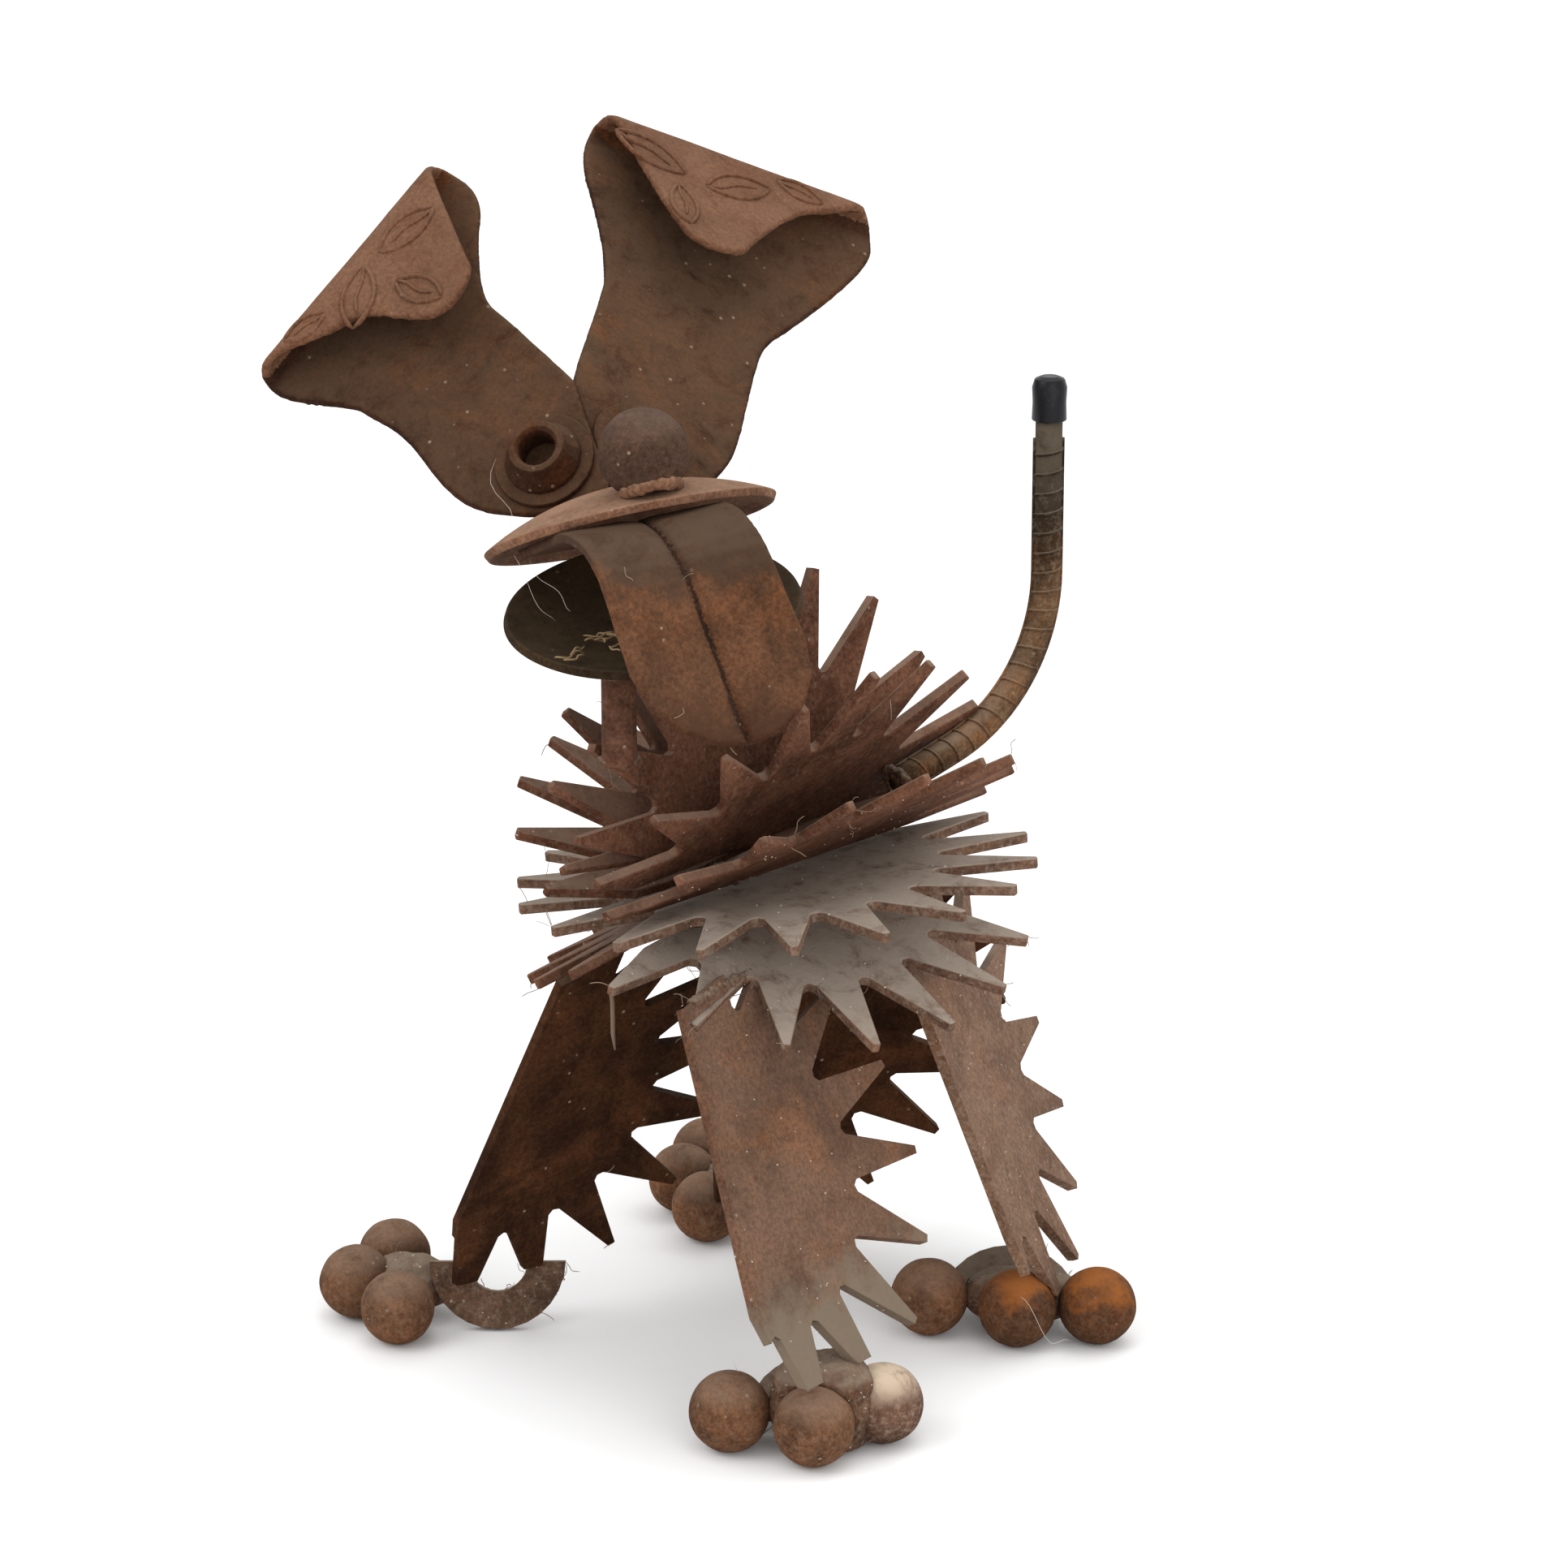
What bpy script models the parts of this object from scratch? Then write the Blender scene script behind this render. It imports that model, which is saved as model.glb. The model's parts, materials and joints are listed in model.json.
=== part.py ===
"""Scrap metal dog sculpture: half star discs fanned about the body's long axis,
four star-disc legs on ball feet, a head of two dishes, a tongue and two folded ears.

Frame: +Z up, the dog's nose end towards -Y, its left side towards +X. Metres.
"""
import bmesh
import bpy
import math
from dataclasses import dataclass
from mathutils import Matrix, Vector

MM = 0.001
GAP = 0.3 * MM                    # clearance left between welded neighbours

# star discs -----------------------------------------------------------------
TEETH = 18
PITCH = 360.0 / TEETH
STAR_R = 116.4 * MM               # over the tooth tips
ROOT_R = 72.7 * MM                # in the valleys
STAR_T = 5.0 * MM
TIP_HALF = 0.9                    # degrees either side of a tooth's centre line
FLANK_FOOT = 7.9                  # degrees from the centre line to the flank's foot

# feet -----------------------------------------------------------------------
TOE_R_LEFT = 18.0 * MM
TOE_R_RIGHT = 17.2 * MM
TOE_FLAT = 0.7 * MM               # worn flat under each ball
HEEL_R_OUT = 31.0 * MM
HEEL_R_IN = 13.5 * MM
HEEL_T = 6.0 * MM

# head -----------------------------------------------------------------------
HEAD_AT = Vector((-27.4, -69.0, 374.1)) * MM   # centre of the upper lip's rim
HEAD_TURN = 53.5                  # degrees, from -Y towards +X
HEAD_PITCH = 19.2                 # degrees, nose up
HEAD_LEAN = 7.6                   # degrees, left side up
LIP_R = 64.5 * MM
LIP_RISE = 20.0 * MM
LIP_T = 4.0 * MM
LIP_TIP_BACK = 3.4                # degrees, rim raised at the front
JAW_R = 65.0 * MM
JAW_SIDE = 2.5 * MM
DISH_SIDES = 26
JAW_RISE = 16.0 * MM
JAW_DROP = 32.4 * MM
JAW_OPEN = 28.9                   # degrees, rim lowered at the front
NOSE_R = 19.5 * MM
NOSE_SINK = 5.0 * MM              # how far the ball's seat is ground into its underside
NOSE_FORWARD = 54.0 * MM
NOSE_SIDE = 0.5 * MM
NECK_R = 7.6 * MM
NECK_FOOT = Vector((-5.4, -102.8, 281.0)) * MM
NECK_TOP = Vector((-10.0, -97.8, 325.0)) * MM
EAR_T = 4.0 * MM
EAR_BEND_R = 9.0 * MM
EAR_BEND_DEG = 170.0
EAR_FACE = Vector((0.821, 0.357, 0.443))       # ear face normal: forward, side, up
WASHER_R = 22.8 * MM
WASHER_BORE_R = 9.0 * MM
WASHER_T = 2.6 * MM
BUSH_R = 17.6 * MM
BUSH_TOP_R = 13.6 * MM
BUSH_BORE_R = 8.4 * MM
BUSH_H = 12.0 * MM
TONGUE_HALF_W = 38.0 * MM
TONGUE_T = 4.5 * MM
TONGUE_CREASE = 4.5 * MM

# tail -----------------------------------------------------------------------
TAIL_FOOT = Vector((32.4, 38.3, 247.6)) * MM
TAIL_HEADING = 75.8               # degrees from +X towards +Y
TAIL_SLOPE = 19.0                 # degrees above level where it leaves the body
TAIL_STRAIGHT = 34.0 * MM
TAIL_BEND_R = 78.0 * MM
TAIL_TOP_Z = 404.0 * MM
TAIL_R = 6.2 * MM
CAP_R = 7.9 * MM
CAP_BORE_R = 6.9 * MM
CAP_TOP_Z = 422.0 * MM


@dataclass(frozen=True)
class Page:
    """One star disc or half disc of the body fan."""
    name: str
    centre: tuple                 # mm
    roll: float                   # degrees, outward direction above +X, about the long axis
    pitch: float                  # degrees, front end up
    yaw: float                    # degrees, front end towards +X
    phase: float                  # degrees, a tooth's angle from the front end
    first: int                    # teeth kept, counted from the front end
    count: int
    against: tuple = ()           # pages its straight edge is welded to
    material: str = "plate"


@dataclass(frozen=True)
class Leg:
    """One leg: a star disc cut along a chord and bevelled at the foot."""
    name: str
    centre: tuple                 # mm
    heading: float                # degrees, face normal from +X towards +Y
    tilt: float                   # degrees, face normal above level
    phase: float                  # degrees, a tooth's angle from straight down to the rear
    chord: float                  # degrees, direction the teeth lie in from the chord
    chord_at: float               # mm from the disc centre
    bevel: float
    bevel_at: float
    under: str                    # page the top edge is welded under
    rise: float                   # mm, how far past that page's plane the top edge reaches
    foot_z: float                 # mm, lowest point kept


@dataclass(frozen=True)
class Foot:
    """Three worn balls, a half washer heel and the weld between them."""
    name: str
    toes: tuple                   # mm, ball centres in plan
    toe_r: float
    heel: tuple                   # mm, washer centre
    heading: float                # degrees, the washer's straight side from +X towards +Y
    rise: float                   # degrees, the washer's arc above level, negative hangs down
    weld: tuple                   # mm, centre of the weld lump
    weld_r: tuple                 # mm, radii of the weld lump


@dataclass(frozen=True)
class EarSize:
    """Unfolded outline of one ear, mm: across is outward, along is up the ear."""
    side: int                     # +1 the dog's left, -1 its right
    waist_at: tuple               # waist centre in the head's frame: forward, side, up
    out_dir: tuple                # outward direction in the head's frame
    base: tuple                   # inner and outer half width, and how far below the waist
    waist: tuple                  # inner and outer half width
    flare: tuple                  # inner across, inner along, outer across, outer along
    root: tuple                   # where the flap leaves the fold, in the same order
    mid: tuple                    # halfway down the flap, in the same order
    tip: tuple                    # flap end: centre across, half width, along
    fold: tuple                   # fold line: along at the centre line, slope in degrees


PAGES = (
    Page("fan_full_disc", (4.6, -11.1, 212.5), 3.9, -1.8, 0.1, 4.0, 0, TEETH),
    Page("fan_upright_half", (0.3, -7.0, 231.7), 97.8, -0.8, -5.7, 10.0, 0, 9,
         ("fan_full_disc",)),
    Page("fan_left_steep_half", (-1.2, -11.0, 224.9), 52.7, 1.1, -1.5, 5.0, 0, 9,
         ("fan_upright_half",)),
    Page("fan_left_raised_half", (3.9, -10.5, 215.5), 32.6, 1.5, -1.0, 3.0, 0, 9,
         ("fan_full_disc",)),
    Page("fan_left_lower_half", (4.2, -13.7, 206.7), -19.3, -6.4, -2.3, 6.0, 0, 7),
    Page("fan_right_steep_half", (0.8, -12.7, 216.6), 126.7, -1.0, -1.3, 14.0, 0, 9,
         ("fan_upright_half", "fan_full_disc")),
    Page("fan_right_raised_half", (1.0, -12.6, 216.1), 156.7, -1.9, -0.8, 16.0, 0, 8,
         ("fan_full_disc", "fan_upright_half", "fan_right_steep_half")),
    Page("fan_right_lower_half", (-0.8, -14.1, 216.2), -151.9, -7.3, 3.9, 11.0, 0, 8,
         ("fan_full_disc",)),
)

LEGS = (
    Leg("leg_front_left", (77, -127, 124), 2.6, 29.0, 57.0, 76.6, -7.4, 97.9, -29.9,
        "fan_left_lower_half", 11.0, 40.0),
    Leg("leg_front_right", (-50, -126, 123), -16.7, -18.6, 35.3, 75.7, -3.0, 96.3, -25.4,
        "fan_right_lower_half", 2.5, 29.5),
    Leg("leg_rear_left", (86, 21, 122), 23.4, 22.5, 45.3, 87.8, -14.8, 96.3, -24.8,
        "fan_left_lower_half", 0.0, 24.0),
    Leg("leg_rear_right", (-30, 22, 120), -32.0, -19.6, 52.5, 76.0, -8.0, 97.0, -26.0,
        "fan_full_disc", 0.0, 26.0),
)

FEET = (
    Foot("front_left", ((82.2, -134.1), (119.4, -122.5), (127.1, -85.4)), TOE_R_LEFT,
         (99.0, -94.0, 5.0), 40.0, 35.0, (111.0, -106.0, 19.5), (24.0, 20.0, 26.0)),
    Foot("front_right", ((-151.0, -99.5), (-142.3, -133.3), (-106.8, -142.8)), TOE_R_RIGHT,
         (-87.5, -97.5, 30.0), 40.0, -107.0, (-126.0, -116.0, 15.0), (22.0, 17.0, 12.0)),
    Foot("rear_left", ((69.8, 18.8), (108.1, 33.8), (134.1, 59.3)), TOE_R_LEFT,
         (86.0, 58.0, 5.0), 40.0, 35.0, (98.0, 51.0, 16.0), (27.0, 18.0, 13.0)),
    Foot("rear_right", ((-126.0, 91.5), (-112.1, 58.5), (-79.6, 38.1)), TOE_R_RIGHT,
         (-62.0, 72.0, 30.0), 40.0, -107.0, (-95.0, 72.0, 15.0), (26.0, 20.0, 12.0)),
)

EARS = (
    EarSize(1, (-105.0, 68.2, 99.5), (-0.070, 0.836, -0.544), (44, 33, -112), (41, 40),
            (-63, 68, 83, 84), (-58, 103, 64, 112), (-46, 140, 30, 130), (-17, 12, 176),
            (89, 6.0)),
    EarSize(-1, (-89.6, -55.4, 96.3), (-0.050, -0.821, -0.569), (32, 38, -102), (37, 36),
            (-74, 48, 56, 50), (-64, 78, 38, 76), (-47, 104, 10, 99), (-15, 12, 137),
            (58, -4.8)),
)


# helpers --------------------------------------------------------------------
def clear_scene() -> None:
    for old in list(bpy.data.objects):
        bpy.data.objects.remove(old, do_unlink=True)


def make_material(name: str, rgb: tuple, metallic: float, rough: float):
    mat = bpy.data.materials.new(name)
    mat.use_nodes = True
    shader = mat.node_tree.nodes["Principled BSDF"]
    shader.inputs["Base Color"].default_value = (*rgb, 1.0)
    shader.inputs["Metallic"].default_value = metallic
    shader.inputs["Roughness"].default_value = rough
    return mat


def link_mesh(name: str, mesh, collection):
    mesh.name = name
    obj = bpy.data.objects.new(name, mesh)
    collection.objects.link(obj)
    return obj


def settle(obj) -> None:
    """Replace an object's mesh by its evaluated one and drop the modifiers."""
    bpy.context.view_layer.update()
    graph = bpy.context.evaluated_depsgraph_get()
    mesh = bpy.data.meshes.new_from_object(obj.evaluated_get(graph))
    old = obj.data
    obj.modifiers.clear()
    if obj.type == "MESH":
        obj.data = mesh
        bpy.data.meshes.remove(old)


def frame_matrix(origin, x_dir, y_dir) -> Matrix:
    """Matrix whose columns are x, y and their normal, at the origin given."""
    x = Vector(x_dir).normalized()
    y = Vector(y_dir)
    y = (y - x * y.dot(x)).normalized()
    z = x.cross(y)
    rot = Matrix((x, y, z)).transposed().to_4x4()
    return Matrix.Translation(Vector(origin)) @ rot


def prism(name: str, points: list, thick: float, matrix: Matrix, collection):
    """Flat plate with the outline given, centred on the matrix's XY plane."""
    curve = bpy.data.curves.new(name, "CURVE")
    curve.dimensions = "2D"
    curve.fill_mode = "BOTH"
    curve.extrude = thick / 2.0
    spline = curve.splines.new("POLY")
    spline.points.add(len(points) - 1)
    for slot, (px, py) in zip(spline.points, points):
        slot.co = (px, py, 0.0, 1.0)
    spline.use_cyclic_u = True
    holder = bpy.data.objects.new(name, curve)
    collection.objects.link(holder)
    bpy.context.view_layer.update()
    graph = bpy.context.evaluated_depsgraph_get()
    mesh = bpy.data.meshes.new_from_object(holder.evaluated_get(graph))
    bpy.data.objects.remove(holder, do_unlink=True)
    bpy.data.curves.remove(curve)
    bm = bmesh.new()
    bm.from_mesh(mesh)
    bmesh.ops.remove_doubles(bm, verts=bm.verts, dist=0.00001)
    bmesh.ops.transform(bm, matrix=matrix, verts=bm.verts)
    bmesh.ops.recalc_face_normals(bm, faces=bm.faces)
    bm.to_mesh(mesh)
    bm.free()
    return link_mesh(name, mesh, collection)


def lathe(name: str, profile: list, steps: int, matrix: Matrix, collection):
    """Solid of revolution about the matrix's Z from a closed or axis-ended profile."""
    bm = bmesh.new()
    verts = [bm.verts.new((r, 0.0, z)) for r, z in profile]
    for a, b in zip(verts, verts[1:]):
        bm.edges.new((a, b))
    on_axis = profile[0][0] < 1e-9 and profile[-1][0] < 1e-9
    if not on_axis:
        bm.edges.new((verts[-1], verts[0]))
    mesh = bpy.data.meshes.new(name)
    bm.to_mesh(mesh)
    bm.free()
    obj = link_mesh(name, mesh, collection)
    screw = obj.modifiers.new("turn", "SCREW")
    screw.axis = "Z"
    screw.angle = math.tau
    screw.steps = steps
    screw.render_steps = steps
    screw.use_merge_vertices = True
    screw.merge_threshold = 0.00005
    settle(obj)
    bm = bmesh.new()
    bm.from_mesh(obj.data)
    bmesh.ops.remove_doubles(bm, verts=bm.verts, dist=0.00001)
    bmesh.ops.recalc_face_normals(bm, faces=bm.faces)
    bmesh.ops.transform(bm, matrix=matrix, verts=bm.verts)
    bm.to_mesh(obj.data)
    bm.free()
    return obj


def keep_largest(obj) -> None:
    """Drop every loose scrap but the largest one."""
    bm = bmesh.new()
    bm.from_mesh(obj.data)
    left = set(bm.verts)
    islands = []
    while left:
        stack = [left.pop()]
        group = set(stack)
        while stack:
            vert = stack.pop()
            for edge in vert.link_edges:
                other = edge.other_vert(vert)
                if other in left:
                    left.discard(other)
                    group.add(other)
                    stack.append(other)
        islands.append(group)
    islands.sort(key=len)
    for group in islands[:-1]:
        bmesh.ops.delete(bm, geom=list(group), context="VERTS")
    bmesh.ops.remove_doubles(bm, verts=bm.verts, dist=0.000004)
    bmesh.ops.triangulate(bm, faces=bm.faces)
    bm.to_mesh(obj.data)
    bm.free()


def subtract(obj, cutters: list) -> None:
    """Take the cutters out of the object and keep its largest piece."""
    for cutter in cutters:
        cut = obj.modifiers.new("cut", "BOOLEAN")
        cut.operation = "DIFFERENCE"
        cut.solver = "EXACT"
        cut.object = cutter
    settle(obj)
    keep_largest(obj)


def block(name: str, point: Vector, inward: Vector, collection):
    """Box cutter filling the far side of a plane; inward points into what is kept."""
    size = 0.6
    z = -Vector(inward).normalized()
    spare = Vector((0.31, 0.87, 0.38))
    matrix = frame_matrix(point, z.cross(spare), z.cross(z.cross(spare)))
    bm = bmesh.new()
    bmesh.ops.create_cube(bm, size=size)
    bmesh.ops.translate(bm, verts=bm.verts, vec=(0.0, 0.0, size / 2.0))
    bmesh.ops.transform(bm, matrix=matrix, verts=bm.verts)
    bmesh.ops.recalc_face_normals(bm, faces=bm.faces)
    mesh = bpy.data.meshes.new(name)
    bm.to_mesh(mesh)
    bm.free()
    return link_mesh(name, mesh, collection)


def star_outline(phase: float, first: int, count: int) -> list:
    """Star disc outline, or the part of it spanned by some teeth, closed by a chord."""
    points = []
    for k in range(first, first + count):
        mid = phase + PITCH * k
        for off, radius in ((-10.0, ROOT_R), (-FLANK_FOOT, ROOT_R + 1.6 * MM),
                            (-TIP_HALF, STAR_R), (TIP_HALF, STAR_R),
                            (FLANK_FOOT, ROOT_R + 1.6 * MM)):
            ang = math.radians(mid + off)
            points.append((radius * math.cos(ang), radius * math.sin(ang)))
    if count < TEETH:
        ang = math.radians(phase + PITCH * (first + count - 1) + 10.0)
        points.append((ROOT_R * math.cos(ang), ROOT_R * math.sin(ang)))
    return points


def page_axes(page: Page) -> tuple:
    """Front direction, outward direction and face normal of a fan page."""
    pitch = math.radians(page.pitch)
    yaw = math.radians(page.yaw)
    roll = math.radians(page.roll)
    front = Vector((math.sin(yaw) * math.cos(pitch), -math.cos(yaw) * math.cos(pitch),
                    math.sin(pitch)))
    out = Vector((math.cos(roll), 0.0, math.sin(roll)))
    out = (out - front * out.dot(front)).normalized()
    return front, out, front.cross(out)


def leg_axes(leg: Leg) -> tuple:
    """Down direction, rearward direction and face normal of a leg plate."""
    head = math.radians(leg.heading)
    tilt = math.radians(leg.tilt)
    normal = Vector((math.cos(head) * math.cos(tilt), math.sin(head) * math.cos(tilt),
                     math.sin(tilt)))
    down = Vector((0.0, 0.0, -1.0))
    down = (down - normal * down.dot(normal)).normalized()
    rear = normal.cross(down)
    if rear.y < 0.0:
        rear = -rear
    return down, rear, normal


def butt_cut(name: str, centre, normal, outward, other_centre, other_normal, collection):
    """Cutter for a plate's straight edge where it is welded to another plate."""
    along = normal.cross(other_normal).normalized()
    away = along.cross(normal).normalized()
    if away.dot(outward) < 0.0:
        away = -away
    sine = abs(away.dot(other_normal))
    cosine = math.sqrt(max(0.0, 1.0 - sine * sine))
    run = (other_centre - centre).dot(other_normal) / away.dot(other_normal)
    stand_off = (STAR_T / 2.0 * (1.0 + cosine) + GAP) / sine
    point = centre + away * (run + stand_off)
    return block(name, point, away, collection)


def head_axes() -> tuple:
    """Forward, dog's left and up of the head."""
    turn = math.radians(HEAD_TURN)
    pitch = math.radians(HEAD_PITCH)
    lean = math.radians(HEAD_LEAN)
    forward = Vector((math.sin(turn) * math.cos(pitch), -math.cos(turn) * math.cos(pitch),
                      math.sin(pitch)))
    level = Vector((math.cos(turn), math.sin(turn), 0.0))
    raised = forward.cross(level)
    if raised.z < 0.0:
        raised = -raised
    side = level * math.cos(lean) + raised * math.sin(lean)
    up = raised * math.cos(lean) - level * math.sin(lean)
    return forward, side, up


def smooth(obj, angle: float = 40.0) -> None:
    for poly in obj.data.polygons:
        poly.use_smooth = True
    obj.data.set_sharp_from_angle(angle=math.radians(angle))


def chaikin(points: list, rounds: int) -> list:
    """Round a closed outline's corners."""
    for _ in range(rounds):
        out = []
        for a, b in zip(points, points[1:] + points[:1]):
            out.append((a[0] * 0.75 + b[0] * 0.25, a[1] * 0.75 + b[1] * 0.25))
            out.append((a[0] * 0.25 + b[0] * 0.75, a[1] * 0.25 + b[1] * 0.75))
        points = out
    return points


def sheet(name: str, points: list, lines: list, thick: float, place, collection):
    """Sheet metal: a flat plate scored along lines, then bent by a placing function."""
    obj = prism(name, points, thick, Matrix.Identity(4), collection)
    bm = bmesh.new()
    bm.from_mesh(obj.data)
    bmesh.ops.dissolve_limit(bm, angle_limit=math.radians(0.5), verts=bm.verts, edges=bm.edges)
    for (ox, oy), (nx, ny) in lines:
        geom = list(bm.verts) + list(bm.edges) + list(bm.faces)
        bmesh.ops.bisect_plane(bm, geom=geom, dist=0.00002, plane_co=(ox, oy, 0.0),
                               plane_no=(nx, ny, 0.0))
    bmesh.ops.triangulate(bm, faces=bm.faces)
    reach = 0.4 * MM
    for vert in bm.verts:
        px, py, level = vert.co
        run_x = place(px + reach, py) - place(px - reach, py)
        run_y = place(px, py + reach) - place(px, py - reach)
        vert.co = place(px, py) + run_x.cross(run_y).normalized() * level
    bmesh.ops.recalc_face_normals(bm, faces=bm.faces)
    if bm.calc_volume(signed=True) < 0.0:
        bmesh.ops.reverse_faces(bm, faces=bm.faces)
    bm.to_mesh(obj.data)
    bm.free()
    return obj


# sub-assemblies -------------------------------------------------------------
def build_fan(parts, cutters) -> dict:
    frames = {page.name: (Vector(page.centre) * MM, *page_axes(page)) for page in PAGES}
    built = {}
    for page in PAGES:
        centre, front, out, normal = frames[page.name]
        matrix = frame_matrix(centre, front, out)
        outline = star_outline(page.phase, page.first, page.count)
        obj = prism(page.name, outline, STAR_T, matrix, parts)
        tools = []
        for other in page.against:
            o_centre, _, _, o_normal = frames[other]
            tools.append(butt_cut(page.name + "_edge", centre, normal, out, o_centre,
                                  o_normal, cutters))
        if page.name.endswith("lower_half"):
            away = Vector((1.0 if out.x > 0.0 else -1.0, 0.0, 0.0))
            tools.append(block(page.name + "_root", away * 2.0 * MM, away, cutters))
        if tools:
            subtract(obj, tools)
        built[page.name] = obj
    return frames


def build_feet(parts, cutters) -> dict:
    tools = {}
    for foot in FEET:
        grown = []
        for place, (tx, ty) in zip(("inner", "middle", "outer"), foot.toes):
            low = -(foot.toe_r - TOE_FLAT)
            at = Matrix.Translation(Vector((tx * MM, ty * MM, -low)))
            for grow, target in ((0.0, parts), (GAP, cutters)):
                radius = foot.toe_r + grow
                start = math.acos(min(1.0, -low / radius))
                rings = 6
                profile = [(0.0, low)]
                for i in range(rings):
                    ang = start + (math.pi - start) * i / rings
                    profile.append((radius * math.sin(ang), -radius * math.cos(ang)))
                profile.append((0.0, radius))
                name = f"toe_{foot.name}_{place}"
                ball = lathe(name if grow == 0.0 else name + "_clear", profile, 12, at, target)
                if grow > 0.0:
                    grown.append(ball)
        heading = math.radians(foot.heading)
        rise = math.radians(foot.rise)
        flat = Vector((math.cos(heading), math.sin(heading), 0.0))
        back = Vector((-math.sin(heading), math.cos(heading), 0.0))
        arc = back * math.cos(rise) + Vector((0.0, 0.0, 1.0)) * math.sin(rise)
        matrix = frame_matrix(Vector(foot.heel) * MM, flat, arc)
        for grow, target in ((0.0, parts), (GAP, cutters)):
            steps = 14
            ring = [((HEEL_R_OUT + grow) * math.cos(math.pi * i / steps),
                     (HEEL_R_OUT + grow) * math.sin(math.pi * i / steps) - grow * (i in (0, steps)))
                    for i in range(steps + 1)]
            ring += [((HEEL_R_IN - grow) * math.cos(math.pi * i / steps),
                      (HEEL_R_IN - grow) * math.sin(math.pi * i / steps) - grow * (i in (0, steps)))
                     for i in range(steps, -1, -1)]
            name = "heel_" + foot.name
            heel = prism(name if grow == 0.0 else name + "_clear", ring, HEEL_T + 2 * grow,
                         matrix, target)
            if grow == 0.0:
                subtract(heel, grown + [block(name + "_floor", Vector((0, 0, GAP)),
                                              Vector((0, 0, 1)), cutters)])
            else:
                tools[foot.name] = grown + [heel]
    return tools


def build_legs(parts, cutters, frames: dict, foot_tools: dict) -> None:
    for leg in LEGS:
        down, rear, normal = leg_axes(leg)
        centre = Vector(leg.centre) * MM
        matrix = frame_matrix(centre, down, rear)
        obj = prism(leg.name, star_outline(leg.phase, 0, TEETH), STAR_T, matrix, parts)
        tools = []
        for turn, reach in ((leg.chord, leg.chord_at), (leg.bevel, leg.bevel_at)):
            ang = math.radians(turn)
            inward = down * math.cos(ang) + rear * math.sin(ang)
            tools.append(block(leg.name + "_chord", centre + inward * reach * MM, inward, cutters))
        page_centre, front, out, page_normal = frames[leg.under]
        level = page_centre + Vector((0.0, 0.0, leg.rise * MM))
        tools.append(butt_cut(leg.name + "_top", centre, normal, down, level, page_normal, cutters))
        if leg.rise > 0.0:
            page = next(p for p in PAGES if p.name == leg.under)
            solid = prism(leg.name + "_page", star_outline(page.phase, page.first, page.count),
                          STAR_T + 2.0 * GAP, frame_matrix(page_centre, front, out)
                          @ Matrix.Diagonal((1.004, 1.004, 1.0, 1.0)), cutters)
            tools.append(solid)
        tools.append(block(leg.name + "_foot", Vector((0, 0, leg.foot_z * MM)),
                           Vector((0, 0, 1)), cutters))
        subtract(obj, tools)
        subtract(obj, foot_tools[leg.name[4:]])


def build_foot_welds(parts, cutters, foot_tools: dict) -> None:
    """The lump of weld metal that joins each foot's balls, heel and leg."""
    ends = {leg.name[4:]: leg.foot_z for leg in LEGS}
    for foot in FEET:
        bm = bmesh.new()
        bmesh.ops.create_uvsphere(bm, u_segments=10, v_segments=6, radius=1.0)
        turn = Matrix.Rotation(math.radians(foot.heading), 4, "Z")
        scale = Matrix.Diagonal((*(Vector(foot.weld_r) * MM), 1.0))
        place = Matrix.Translation(Vector(foot.weld) * MM)
        bmesh.ops.transform(bm, matrix=place @ turn @ scale, verts=bm.verts)
        name = "foot_weld_" + foot.name
        mesh = bpy.data.meshes.new(name)
        bm.to_mesh(mesh)
        bm.free()
        obj = link_mesh(name, mesh, parts)
        top = Vector((0.0, 0.0, ends[foot.name] * MM - GAP))
        tools = list(foot_tools[foot.name])
        tools.append(block(name + "_top", top, Vector((0, 0, -1)), cutters))
        tools.append(block(name + "_floor", Vector((0, 0, 3.0 * MM)), Vector((0, 0, 1)), cutters))
        subtract(obj, tools)


def dish_shape(radius: float, rise: float, thick: float) -> tuple:
    """Outer radius, centre height and half angle of a dish whose rim is cut square."""
    rim = thick * 0.85
    for _ in range(4):
        outer = (radius * radius + (rise - rim) ** 2) / (2.0 * (rise - rim))
        span = math.asin(radius / outer)
        rim = thick * math.cos(span)
    return outer, rise - outer, span


def dish_profile(radius: float, rise: float, thick: float) -> list:
    """Half section of a shallow dish, rim down at z = 0, domed towards +Z."""
    outer, centre, span = dish_shape(radius, rise, thick)
    inner = outer - thick
    steps = 5
    angles = [span * i / steps for i in range(steps + 1)]
    profile = [(inner * math.sin(a), inner * math.cos(a) + centre) for a in angles]
    profile += [(outer * math.sin(a), outer * math.cos(a) + centre) for a in reversed(angles)]
    return profile


def cap_cutter(name: str, radius: float, rise: float, matrix: Matrix, collection):
    """Solid filling a dish out to its outer face, grown by the clearance."""
    outer, centre, span = dish_shape(radius, rise, LIP_T)
    grown = outer * 1.004 + GAP
    span *= 1.08
    steps = 10
    profile = [(0.0, grown * math.cos(span) + centre)]
    for i in range(steps, -1, -1):
        ang = span * i / steps
        profile.append((grown * math.sin(ang), grown * math.cos(ang) + centre))
    return lathe(name, profile, 32, matrix, collection)


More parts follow.
